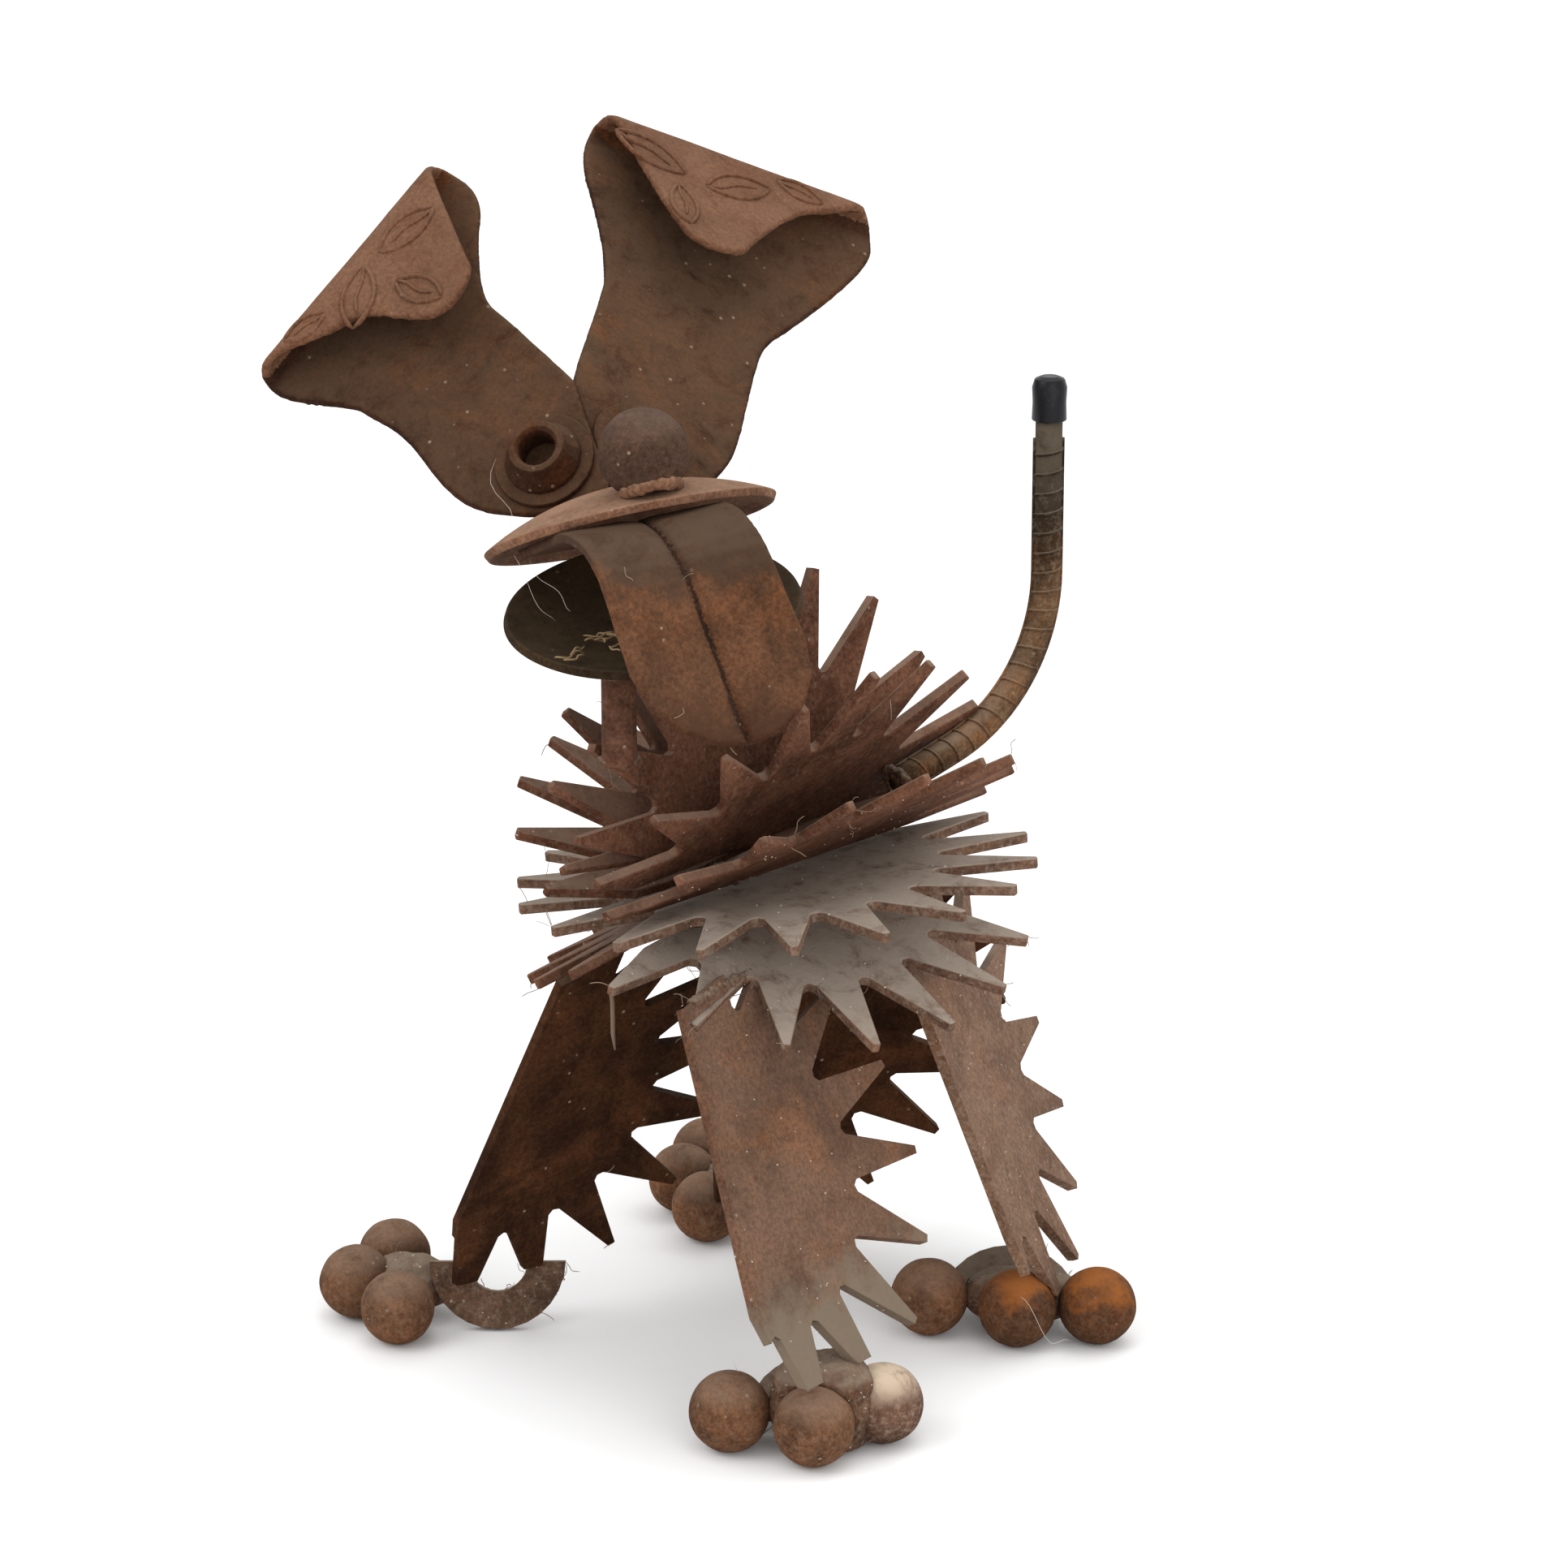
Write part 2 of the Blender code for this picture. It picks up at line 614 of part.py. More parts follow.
def build_head(parts, cutters) -> None:
    forward, side, up = head_axes()
    tip = math.radians(LIP_TIP_BACK)
    lip_up = up * math.cos(tip) - forward * math.sin(tip)
    lip_matrix = frame_matrix(HEAD_AT, side.cross(lip_up) * -1.0, side)
    if lip_matrix.col[2].xyz.dot(lip_up) < 0.0:
        lip_matrix = frame_matrix(HEAD_AT, side.cross(lip_up), side)
    lathe("upper_lip_dish", dish_profile(LIP_R, LIP_RISE, LIP_T), DISH_SIDES, lip_matrix, parts)
    lip_clear = cap_cutter("upper_lip_clear", LIP_R, LIP_RISE, lip_matrix, cutters)

    opening = math.radians(JAW_OPEN)
    jaw_up = up * math.cos(opening) + forward * math.sin(opening)
    jaw_at = HEAD_AT - up * JAW_DROP + side * JAW_SIDE
    jaw_matrix = frame_matrix(jaw_at, side.cross(jaw_up), side)
    if jaw_matrix.col[2].xyz.dot(jaw_up) > 0.0:
        jaw_matrix = frame_matrix(jaw_at, side.cross(jaw_up) * -1.0, side)
    lathe("lower_jaw_dish", dish_profile(JAW_R, JAW_RISE, LIP_T), DISH_SIDES, jaw_matrix, parts)
    jaw_clear = cap_cutter("lower_jaw_clear", JAW_R, JAW_RISE, jaw_matrix, cutters)

    rod = NECK_TOP - NECK_FOOT
    neck = lathe("neck_rod", [(0.0, 0.0), (NECK_R, 0.0), (NECK_R, rod.length), (0.0, rod.length)],
                 16, frame_matrix(NECK_FOOT, rod.cross(Vector((0, 1, 0))),
                                  rod.cross(rod.cross(Vector((0, 1, 0))))), parts)
    subtract(neck, [jaw_clear])
    subtract(parts.objects["fan_upright_half"], [jaw_clear])

    dome = dish_shape(LIP_R, LIP_RISE, LIP_T)[0]
    reach = math.sqrt((dome + NOSE_R + GAP) ** 2 - NOSE_FORWARD ** 2) - (dome - LIP_RISE)
    lip_forward = side.cross(lip_up)
    lip_forward = lip_forward if lip_forward.dot(forward) > 0.0 else -lip_forward
    nose_at = HEAD_AT + lip_forward * NOSE_FORWARD + side * NOSE_SIDE + lip_up * (reach - NOSE_SINK)
    rings = 10
    profile = [(NOSE_R * math.sin(math.pi * i / rings), -NOSE_R * math.cos(math.pi * i / rings))
               for i in range(rings + 1)]
    profile[0] = (0.0, -NOSE_R)
    profile[-1] = (0.0, NOSE_R)
    nose = lathe("nose_ball", profile, 16, frame_matrix(nose_at, forward, side), parts)
    subtract(nose, [lip_clear])
    build_tongue(parts, forward, side, up, lip_clear)
    for ear in EARS:
        build_ear(parts, cutters, ear, forward, side, up, lip_clear)


def build_tongue(parts, forward, side, up, lip_clear) -> None:
    """Creased strip that leaves the mouth level and hangs over the lower dish."""
    length = 162.0 * MM
    steps = 60
    path = [Vector((8.0, -0.9)) * MM]
    angle = math.radians(1.8)
    for i in range(steps):
        s = (i + 0.5) * length / steps / MM
        turn = 0.0
        if 38.0 <= s < 62.0:
            turn = 1.27
        elif 62.0 <= s < 92.0:
            turn = 1.95
        elif 110.0 <= s < 140.0:
            turn = -0.25
        angle -= math.radians(turn) * (length / steps / MM)
        path.append(path[-1] + Vector((math.cos(angle), math.sin(angle))) * (length / steps))
    half = TONGUE_HALF_W
    outline = []
    for i in range(9):
        ang = math.pi * i / 8.0
        outline.append((half * math.cos(ang), length - half + half * math.sin(ang)))
    outline += [(-half * 0.96, 0.55 * length), (-half * 0.94, 0.4 * length), (-half * 0.98, 0.0),
                (half * 0.94, 0.0), (half * 0.94, 0.4 * length), (half * 0.96, 0.55 * length)]
    outline.reverse()
    lines = [((0.0, length * i / 22.0), (0.0, 1.0)) for i in range(4, 22)]
    lines.append(((0.0, 0.0), (1.0, 0.0)))

    def place(across: float, along: float) -> Vector:
        t = min(max(along / length, 0.0), 1.0) * steps
        i = min(int(t), steps - 1)
        here = path[i].lerp(path[i + 1], t - i)
        run = (path[i + 1] - path[i]).normalized()
        face = Vector((-run.y, run.x))
        blend = min(1.0, max(0.0, (along - 0.25 * length) / (0.3 * length)))
        sag = TONGUE_CREASE * blend * (1.0 - abs(across) / half)
        here = here - face * sag
        shift = across - 15.0 * MM + 27.0 * MM * (max(along, 0.0) / length) ** 0.75
        return HEAD_AT + forward * here.x + up * here.y + side * shift

    obj = sheet("tongue_plate", outline, lines, TONGUE_T, place, parts)
    subtract(obj, [lip_clear])
    smooth(obj, 35.0)


def build_ear(parts, cutters, ear: EarSize, forward, side, up, lip_clear) -> None:
    """Waisted plate with its leaf end folded forward and down, and its eye."""
    def world(vec) -> Vector:
        return forward * vec[0] + side * vec[1] + up * vec[2]

    face = Vector((EAR_FACE.x, EAR_FACE.y * ear.side, EAR_FACE.z)).normalized()
    out = Vector(ear.out_dir)
    out = (out - face * out.dot(face)).normalized()
    along = face.cross(out)
    if along.z < 0.0:
        along = -along
    waist = HEAD_AT + world(ear.waist_at) * MM
    out_w, along_w, face_w = world(out), world(along), world(face)

    inner, outer, foot = ear.base
    w_in, w_out = ear.waist
    f_in, f_in_up, f_out, f_out_up = ear.flare
    r_in, r_in_up, r_out, r_out_up = ear.root
    m_in, m_in_up, m_out, m_out_up = ear.mid
    tip, tip_half, tip_up = ear.tip
    outline = [(-0.5 * inner, foot - 18), (-inner, 0.84 * foot), (-inner - 2, 0.6 * foot),
               (-w_in, -14), (-w_in, 2), ((f_in - w_in) / 2, 0.52 * f_in_up),
               (f_in, f_in_up - 8), (f_in - 1, f_in_up + 14), (r_in, r_in_up),
               (m_in, m_in_up), (tip - tip_half - 8, tip_up - 14), (tip - tip_half, tip_up),
               (tip + tip_half, tip_up), (tip + tip_half + 8, tip_up - 14), (m_out, m_out_up),
               ((m_out + r_out) / 2, (m_out_up + r_out_up) / 2 + 2), (r_out, r_out_up),
               (f_out - 2, f_out_up + 12), (f_out, f_out_up - 8),
               ((f_out + w_out) / 2 - 9, 0.22 * f_out_up), (w_out, 0), (w_out - 3, -18),
               (outer + 3, 0.55 * foot), (outer, 0.74 * foot), (0.55 * outer, foot)]
    outline = [(px * MM, py * MM) for px, py in chaikin(outline, 2)]
    slope = math.radians(ear.fold[1])
    across_dir = Vector((math.cos(slope), math.sin(slope)))
    up_dir = Vector((-math.sin(slope), math.cos(slope)))
    start = ear.fold[0] * MM - EAR_BEND_R
    bend = math.radians(EAR_BEND_DEG)
    arc = EAR_BEND_R * bend
    lines = []
    for i in range(8):
        spot = up_dir * (start + arc * i / 7.0)
        lines.append(((spot.x, spot.y), (up_dir.x, up_dir.y)))

    def place(px: float, py: float) -> Vector:
        flat = Vector((px, py))
        t = flat.dot(up_dir) - start
        across = across_dir * flat.dot(across_dir)
        rise = 0.0
        if t <= 0.0:
            high = start + t
        elif t < arc:
            high = start + EAR_BEND_R * math.sin(t / EAR_BEND_R)
            rise = EAR_BEND_R * (1.0 - math.cos(t / EAR_BEND_R))
        else:
            high = start + EAR_BEND_R * math.sin(bend) + (t - arc) * math.cos(bend)
            rise = EAR_BEND_R * (1.0 - math.cos(bend)) + (t - arc) * math.sin(bend)
        spot = across + up_dir * high
        return waist + out_w * spot.x + along_w * spot.y + face_w * rise

    tag = "left" if ear.side > 0 else "right"
    obj = sheet("ear_" + tag, outline, lines, EAR_T, place, parts)
    mid = block("ear_mid_" + tag, HEAD_AT + side * ear.side * GAP / 2.0, side * ear.side, cutters)
    subtract(obj, [lip_clear, mid])
    smooth(obj, 35.0)
    build_eye(parts, cutters, tag, ear, waist, out_w, along_w, face_w, mid, lip_clear)


def build_eye(parts, cutters, tag: str, ear: EarSize, waist, out_w, along_w, face_w, mid,
              lip_clear) -> None:
    """Flat washer on the ear plate and a tapered bushing on the washer."""
    spot = (-10.0, -95.0) if ear.side > 0 else (3.0, -81.0)
    centre = waist + (out_w * spot[0] + along_w * spot[1]) * MM + face_w * (EAR_T / 2.0 + GAP)
    matrix = frame_matrix(centre, out_w, face_w.cross(out_w))
    ring = [(WASHER_BORE_R, 0.0), (WASHER_R, 0.0), (WASHER_R, WASHER_T), (WASHER_BORE_R, WASHER_T)]
    washer = lathe("eye_washer_" + tag, ring, 24, matrix, parts)
    base = WASHER_T + GAP
    cone = [(BUSH_BORE_R, base), (BUSH_R, base), (BUSH_R - 0.6 * MM, base + 2.2 * MM),
            (BUSH_TOP_R, base + 0.72 * BUSH_H), (BUSH_TOP_R - 0.8 * MM, base + BUSH_H),
            (BUSH_BORE_R + 1.4 * MM, base + BUSH_H), (BUSH_BORE_R, base + BUSH_H - 1.6 * MM)]
    bush = lathe("eye_bushing_" + tag, cone, 18, matrix, parts)
    subtract(washer, [mid, lip_clear])
    subtract(bush, [mid, lip_clear])
    smooth(bush, 30.0)


def build_tail(parts) -> None:
    """Reinforcing bar that leaves the fan low and turns upright, with a vinyl cap."""
    head = math.radians(TAIL_HEADING)
    flat = Vector((math.cos(head), math.sin(head), 0.0))
    rise = Vector((0.0, 0.0, 1.0))
    slope = math.radians(TAIL_SLOPE)
    run = flat * math.cos(slope) + rise * math.sin(slope)
    points = [TAIL_FOOT, TAIL_FOOT + run * TAIL_STRAIGHT]
    corner = points[-1]
    steps = 7
    pivot = corner + (-flat * math.sin(slope) + rise * math.cos(slope)) * TAIL_BEND_R
    for i in range(1, steps + 1):
        ang = slope + (math.pi / 2.0 - slope) * i / steps
        points.append(pivot + (flat * math.sin(ang) - rise * math.cos(ang)) * TAIL_BEND_R)
    top = points[-1].copy()
    top.z = TAIL_TOP_Z
    points.append(top)
    curve = bpy.data.curves.new("tail_rod", "CURVE")
    curve.dimensions = "3D"
    curve.bevel_depth = TAIL_R
    curve.bevel_resolution = 2
    curve.use_fill_caps = True
    spline = curve.splines.new("POLY")
    spline.points.add(len(points) - 1)
    for slot, point in zip(spline.points, points):
        slot.co = (*point, 1.0)
    holder = bpy.data.objects.new("tail_rod", curve)
    parts.objects.link(holder)
    bpy.context.view_layer.update()
    graph = bpy.context.evaluated_depsgraph_get()
    mesh = bpy.data.meshes.new_from_object(holder.evaluated_get(graph))
    bpy.data.objects.remove(holder, do_unlink=True)
    bpy.data.curves.remove(curve)
    bm = bmesh.new()
    bm.from_mesh(mesh)
    bmesh.ops.remove_doubles(bm, verts=bm.verts, dist=0.00001)
    bmesh.ops.recalc_face_normals(bm, faces=bm.faces)
    bm.to_mesh(mesh)
    bm.free()
    smooth(link_mesh("tail_rod", mesh, parts))
    low = TAIL_TOP_Z - 2.0 * MM
    high = CAP_TOP_Z - low
    cup = [(CAP_BORE_R, 0.0), (CAP_R, 0.0), (CAP_R * 0.96, high * 0.4), (CAP_R, high * 0.75),
           (CAP_R * 0.86, high - 1.2 * MM), (CAP_R * 0.5, high), (0.0, high)]
    cup = [(0.0, 2.0 * MM + GAP), (CAP_BORE_R, 2.0 * MM + GAP)] + cup
    smooth(lathe("tail_cap", cup, 20, Matrix.Translation((top.x, top.y, low)), parts))


def main() -> None:
    clear_scene()
    scene = bpy.context.scene
    parts = bpy.data.collections.new("scrap_metal_dog")
    cutters = bpy.data.collections.new("cutters")
    scene.collection.children.link(parts)
    scene.collection.children.link(cutters)
    frames = build_fan(parts, cutters)
    foot_tools = build_feet(parts, cutters)
    build_legs(parts, cutters, frames, foot_tools)
    build_foot_welds(parts, cutters, foot_tools)
    build_head(parts, cutters)
    build_tail(parts)
    for obj in list(cutters.objects):
        bpy.data.objects.remove(obj, do_unlink=True)
    bpy.data.collections.remove(cutters)

    low = Vector((1e9, 1e9, 1e9))
    high = -low
    for obj in parts.objects:
        for vert in obj.data.vertices:
            low = Vector(map(min, low, vert.co))
            high = Vector(map(max, high, vert.co))
    shift = Matrix.Translation((-(low.x + high.x) / 2.0, -(low.y + high.y) / 2.0, -low.z))
    for obj in parts.objects:
        obj.data.transform(shift)
        colour, metallic, rough = (0.19, 0.085, 0.05), 0.35, 0.85
        if obj.name.startswith(("toe", "nose", "foot_weld", "heel")):
            colour, metallic, rough = (0.17, 0.1, 0.075), 0.3, 0.9
        if obj.name == "tail_cap":
            colour, metallic, rough = (0.02, 0.02, 0.025), 0.0, 0.45
        if obj.name.startswith(("toe", "nose", "upper_lip", "lower_jaw", "neck")):
            smooth(obj, 50.0)
        obj.data.materials.clear()
        obj.data.materials.append(make_material(obj.name, colour, metallic, rough))


main()
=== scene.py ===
"""Dress for the scrap metal dog: star disc body and legs, ball feet, dish head, bar tail."""

import json
import logging
import random
from dataclasses import dataclass, field
from enum import Enum
from math import asin, cos, exp, pi, radians, sin, sqrt, tau

import bmesh
import bpy
from bmesh.types import BMesh
from bpy.types import ID, Material, Mesh, Node, NodeSocket, NodeTree, Object
from mathutils import Matrix, Vector, kdtree, noise

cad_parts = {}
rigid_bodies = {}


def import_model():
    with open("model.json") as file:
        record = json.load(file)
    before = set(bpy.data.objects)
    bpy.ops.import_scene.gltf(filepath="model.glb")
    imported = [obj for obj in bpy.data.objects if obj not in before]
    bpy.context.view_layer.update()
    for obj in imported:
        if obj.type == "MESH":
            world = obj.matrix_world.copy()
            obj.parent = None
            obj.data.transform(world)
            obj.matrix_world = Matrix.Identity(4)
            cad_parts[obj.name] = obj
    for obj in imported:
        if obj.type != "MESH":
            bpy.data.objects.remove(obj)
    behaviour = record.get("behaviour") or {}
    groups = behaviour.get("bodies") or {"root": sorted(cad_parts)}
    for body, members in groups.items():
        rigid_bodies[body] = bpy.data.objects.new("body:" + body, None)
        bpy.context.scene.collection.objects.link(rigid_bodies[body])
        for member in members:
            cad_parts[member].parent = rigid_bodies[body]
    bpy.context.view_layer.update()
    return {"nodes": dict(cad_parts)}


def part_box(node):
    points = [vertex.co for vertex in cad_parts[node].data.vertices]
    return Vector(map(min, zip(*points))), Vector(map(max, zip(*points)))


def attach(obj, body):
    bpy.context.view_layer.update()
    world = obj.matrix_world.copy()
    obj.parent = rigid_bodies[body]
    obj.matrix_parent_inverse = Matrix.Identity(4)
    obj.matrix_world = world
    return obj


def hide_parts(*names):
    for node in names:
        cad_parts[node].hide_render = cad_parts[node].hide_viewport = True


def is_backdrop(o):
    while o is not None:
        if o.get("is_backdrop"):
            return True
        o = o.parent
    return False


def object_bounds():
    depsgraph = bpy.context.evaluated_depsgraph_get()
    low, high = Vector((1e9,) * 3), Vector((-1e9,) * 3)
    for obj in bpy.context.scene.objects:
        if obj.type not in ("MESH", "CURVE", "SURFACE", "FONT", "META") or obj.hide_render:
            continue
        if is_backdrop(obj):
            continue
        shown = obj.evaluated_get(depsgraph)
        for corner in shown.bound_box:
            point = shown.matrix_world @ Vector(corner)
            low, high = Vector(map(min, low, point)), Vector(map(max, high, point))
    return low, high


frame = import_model()
MM = 0.001
MERGE = 0.03 * MM                 # corners closer than this are one corner
ROUND_FACE = 30.0 * MM * MM       # faces under this area are shaded round
UP = Vector((0.0, 0.0, 1.0))
FIRST_SIDE = Vector((0.3, 0.9, 0.2))
log = logging.getLogger("scrap_dog")
Colour = tuple[float, float, float]
Point = tuple[float, float, float]
Feed = float | tuple | NodeSocket


def datum() -> Vector:
    """Offset from the maker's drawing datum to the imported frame, in metres."""
    low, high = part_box("toe_front_left_inner")
    centre = (Vector(low) + Vector(high)) / 2.0
    return Vector((centre.x - 82.2 * MM, centre.y + 134.1 * MM, 0.0))


DATUM = datum()


def drawn(spot: Point) -> Vector:
    """A point of the drawing, in millimetres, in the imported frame."""
    return Vector(spot) * MM + DATUM


class Bead(Enum):
    """Kinds of weld run used on the sculpture."""

    FAN_ROOT = "fan_root"
    LEG_TOP = "leg_top"
    HEAD = "head"
    TAIL = "tail"


class Slot(Enum):
    """Material slots of the part."""

    PLATE = "rusted_plate"
    BALL = "rusted_ball"
    SHEET = "rusted_head_sheet"
    BAR = "rusted_bar"
    WELD = "weld_metal"
    VINYL = "black_vinyl"


# finishes -------------------------------------------------------------------
@dataclass(frozen=True)
class Rust:
    """A rust finish: three tones, how much of the warm one, and the dust on it. On the jaw the
    tones are darkened with painted shade, and on the tongue's crease they are painted shade.

    A band is a tone, the heights between which it comes in, and its strength. The tongue's upper
    band is a painted shadow of the lip.
    """

    name: str
    dark: Colour
    mid: Colour
    warm: Colour
    warm_amount: float
    dust: Colour = (0.21, 0.175, 0.14)
    dust_top: float = 0.35
    dust_all: float = 0.10
    patch_size: float = 26.0
    speck: float = 0.5
    roughness: float = 0.84
    pit: float = 0.55
    bands: tuple[tuple[Colour, float, float, float], ...] = ()


@dataclass(frozen=True)
class Vinyl:
    """The satin black finish of the tail's end cap."""

    name: str = "black_vinyl"
    tone: Colour = (0.0025, 0.0025, 0.0045)
    scuff: Colour = (0.02, 0.019, 0.021)
    roughness: float = 0.38


def rgba(tone: Colour) -> tuple[float, float, float, float]:
    """The tone as a socket takes it."""
    return (*tone, 1.0)


class Net:
    """A node tree with short ways to add to it."""

    def __init__(self, tree: NodeTree) -> None:
        """Keep the tree."""
        self.tree = tree

    def feed(self, node: Node, feeds: dict) -> Node:
        """Give a node's inputs a socket or a plain value each, by name or number."""
        for key, value in feeds.items():
            if isinstance(value, NodeSocket):
                self.tree.links.new(value, node.inputs[key])
            else:
                node.inputs[key].default_value = value
        return node

    def add(self, kind: str, feeds: dict, **settings: object) -> Node:
        """Add a node, set its own options and feed it."""
        node = self.tree.nodes.new(kind)
        for name, value in settings.items():
            setattr(node, name, value)
        return self.feed(node, feeds)

    def coords(self) -> NodeSocket:
        """Object coordinates."""
        return self.add("ShaderNodeTexCoord", {}).outputs["Object"]

    def noise(self, source: NodeSocket, scale: Feed, detail: float, rough: float,
              distort: float = 0.0) -> NodeSocket:
        """Factor of a noise texture."""
        return self.add("ShaderNodeTexNoise", {
            "Vector": source, "Scale": scale, "Detail": detail, "Roughness": rough,
            "Distortion": distort}).outputs["Fac"]

    def ramp(self, source: NodeSocket, low: Feed, high: Feed) -> NodeSocket:
        """Ease a factor from 0 at low to 1 at high."""
        return self.add("ShaderNodeMapRange", {"Value": source, "From Min": low, "From Max": high},
                        interpolation_type="SMOOTHSTEP").outputs["Result"]

    def maths(self, kind: str, a: Feed, b: Feed) -> NodeSocket:
        """Combine two values."""
        return self.add("ShaderNodeMath", {0: a, 1: b}, operation=kind).outputs[0]

    def mix(self, fac: Feed, a: Feed, b: Feed, blend: str = "MIX") -> NodeSocket:
        """Mix two colours by a factor."""
        return self.add("ShaderNodeMix", {0: fac, 6: a, 7: b}, data_type="RGBA",
                        blend_type=blend).outputs[2]

    def place(self, group: NodeTree, feeds: dict) -> NodeSocket:
        """Place a node group and return its output."""
        return self.add("ShaderNodeGroup", feeds, node_tree=group).outputs[0]


class Group(Net):
    """A shader node group with named inputs and one output."""

    def __init__(self, name: str, inputs: dict, output: str = "Color") -> None:
        """Start a group.

        Args:
            name: the group's name.
            inputs: default of each input by name, or None for a colour.
            output: the output's name, which is a vector unless it is a colour.
        """
        super().__init__(bpy.data.node_groups.new(name, "ShaderNodeTree"))
        new = self.tree.interface.new_socket
        for label, usual in inputs.items():
            kind = "NodeSocketColor" if usual is None else "NodeSocketFloat"
            sock = new(label, in_out="INPUT", socket_type=kind)
            if usual is not None:
                sock.default_value = usual
        kind = "NodeSocketColor" if output == "Color" else "NodeSocketVector"
        new(output, in_out="OUTPUT", socket_type=kind)
        self.given = self.tree.nodes.new("NodeGroupInput").outputs

    def end(self, source: NodeSocket) -> NodeTree:
        """Feed the output and return the group's tree."""
        self.add("NodeGroupOutput", {0: source})
        return self.tree


def rust_mottle() -> NodeTree:
    """Rust mottling: broad patches, warm bloom, fine grain and pale specks."""
    net = Group("rust_mottle", {"Dark": None, "Mid": None, "Warm": None, "Warm Amount": 0.3,
                                "Patch Scale": 26.0, "Speck": 0.5})
    at, given = net.coords(), net.given
    broad = net.ramp(net.noise(at, given["Patch Scale"], 7.0, 0.66, 0.5), 0.36, 0.64)
    tone = net.mix(broad, given["Dark"], given["Mid"])
    bloom = net.ramp(net.noise(at, 17.0, 6.0, 0.7, 0.8), 0.46, 0.72)
    tone = net.mix(net.maths("MULTIPLY", bloom, given["Warm Amount"]), tone, given["Warm"])
    grain = net.ramp(net.noise(at, 520.0, 4.0, 0.75), 0.3, 0.7)
    shade = net.mix(grain, (0.62, 0.6, 0.58, 1.0), (1.3, 1.28, 1.25, 1.0))
    tone = net.mix(1.0, tone, shade, "MULTIPLY")
    cells = net.add("ShaderNodeTexVoronoi", {"Vector": at, "Scale": 150.0, "Randomness": 1.0})
    dots = net.ramp(cells.outputs["Distance"], 0.16, 0.08)
    sparse = net.ramp(net.noise(at, 60.0, 3.0, 0.6), 0.52, 0.6)
    dots = net.maths("MULTIPLY", net.maths("MULTIPLY", dots, sparse), given["Speck"])
    return net.end(net.mix(dots, tone, (0.36, 0.27, 0.2, 1.0)))


def settled_dust() -> NodeTree:
    """Dust that settles on faces turned up and clings thinly elsewhere."""
    net = Group("settled_dust", {"Color": None, "Dust": None, "Top": 0.4, "All Over": 0.1})
    at, given = net.coords(), net.given
    normal = net.add("ShaderNodeNewGeometry", {}).outputs["Normal"]
    facing = net.add("ShaderNodeSeparateXYZ", {0: normal}).outputs["Z"]
    broken = net.ramp(net.noise(at, 75.0, 8.0, 0.74, 0.4), 0.2, 0.55)
    top = net.maths("MULTIPLY", net.ramp(facing, 0.15, 0.95), broken)
    fine = net.ramp(net.noise(at, 300.0, 5.0, 0.8), 0.46, 0.66)
    mask = net.maths("MAXIMUM", net.maths("MULTIPLY", top, given["Top"]),
                     net.maths("MULTIPLY", fine, given["All Over"]))
    return net.end(net.mix(mask, given["Color"], given["Dust"]))


def height_band() -> NodeTree:
    """A change of tone with height, its border broken up."""
    net = Group("height_band", {"Color": None, "Tone": None, "From": 0.0, "To": 1.0,
                                "Amount": 0.0})
    at, given = net.coords(), net.given
    ragged = net.maths("SUBTRACT", net.noise(at, 70.0, 5.0, 0.65), 0.5)
    height = net.maths("ADD", net.add("ShaderNodeSeparateXYZ", {0: at}).outputs["Z"],
                       net.maths("MULTIPLY", ragged, 0.05))
    mask = net.maths("MULTIPLY", net.ramp(height, given["From"], given["To"]), given["Amount"])
    return net.end(net.mix(mask, given["Color"], given["Tone"]))


def rust_relief() -> NodeTree:
    """Scale and pitting as a bumped normal."""
    net = Group("rust_relief", {"Pit": 0.5}, "Normal")
    at = net.coords()
    fine = net.maths("MULTIPLY", net.noise(at, 480.0, 5.0, 0.7), 0.5)
    height = net.maths("ADD", fine, net.noise(at, 95.0, 6.0, 0.62))
    bump = net.add("ShaderNodeBump", {"Distance": 1.2 * MM, "Strength": net.given["Pit"],
                                      "Height": height})
    return net.end(bump.outputs["Normal"])


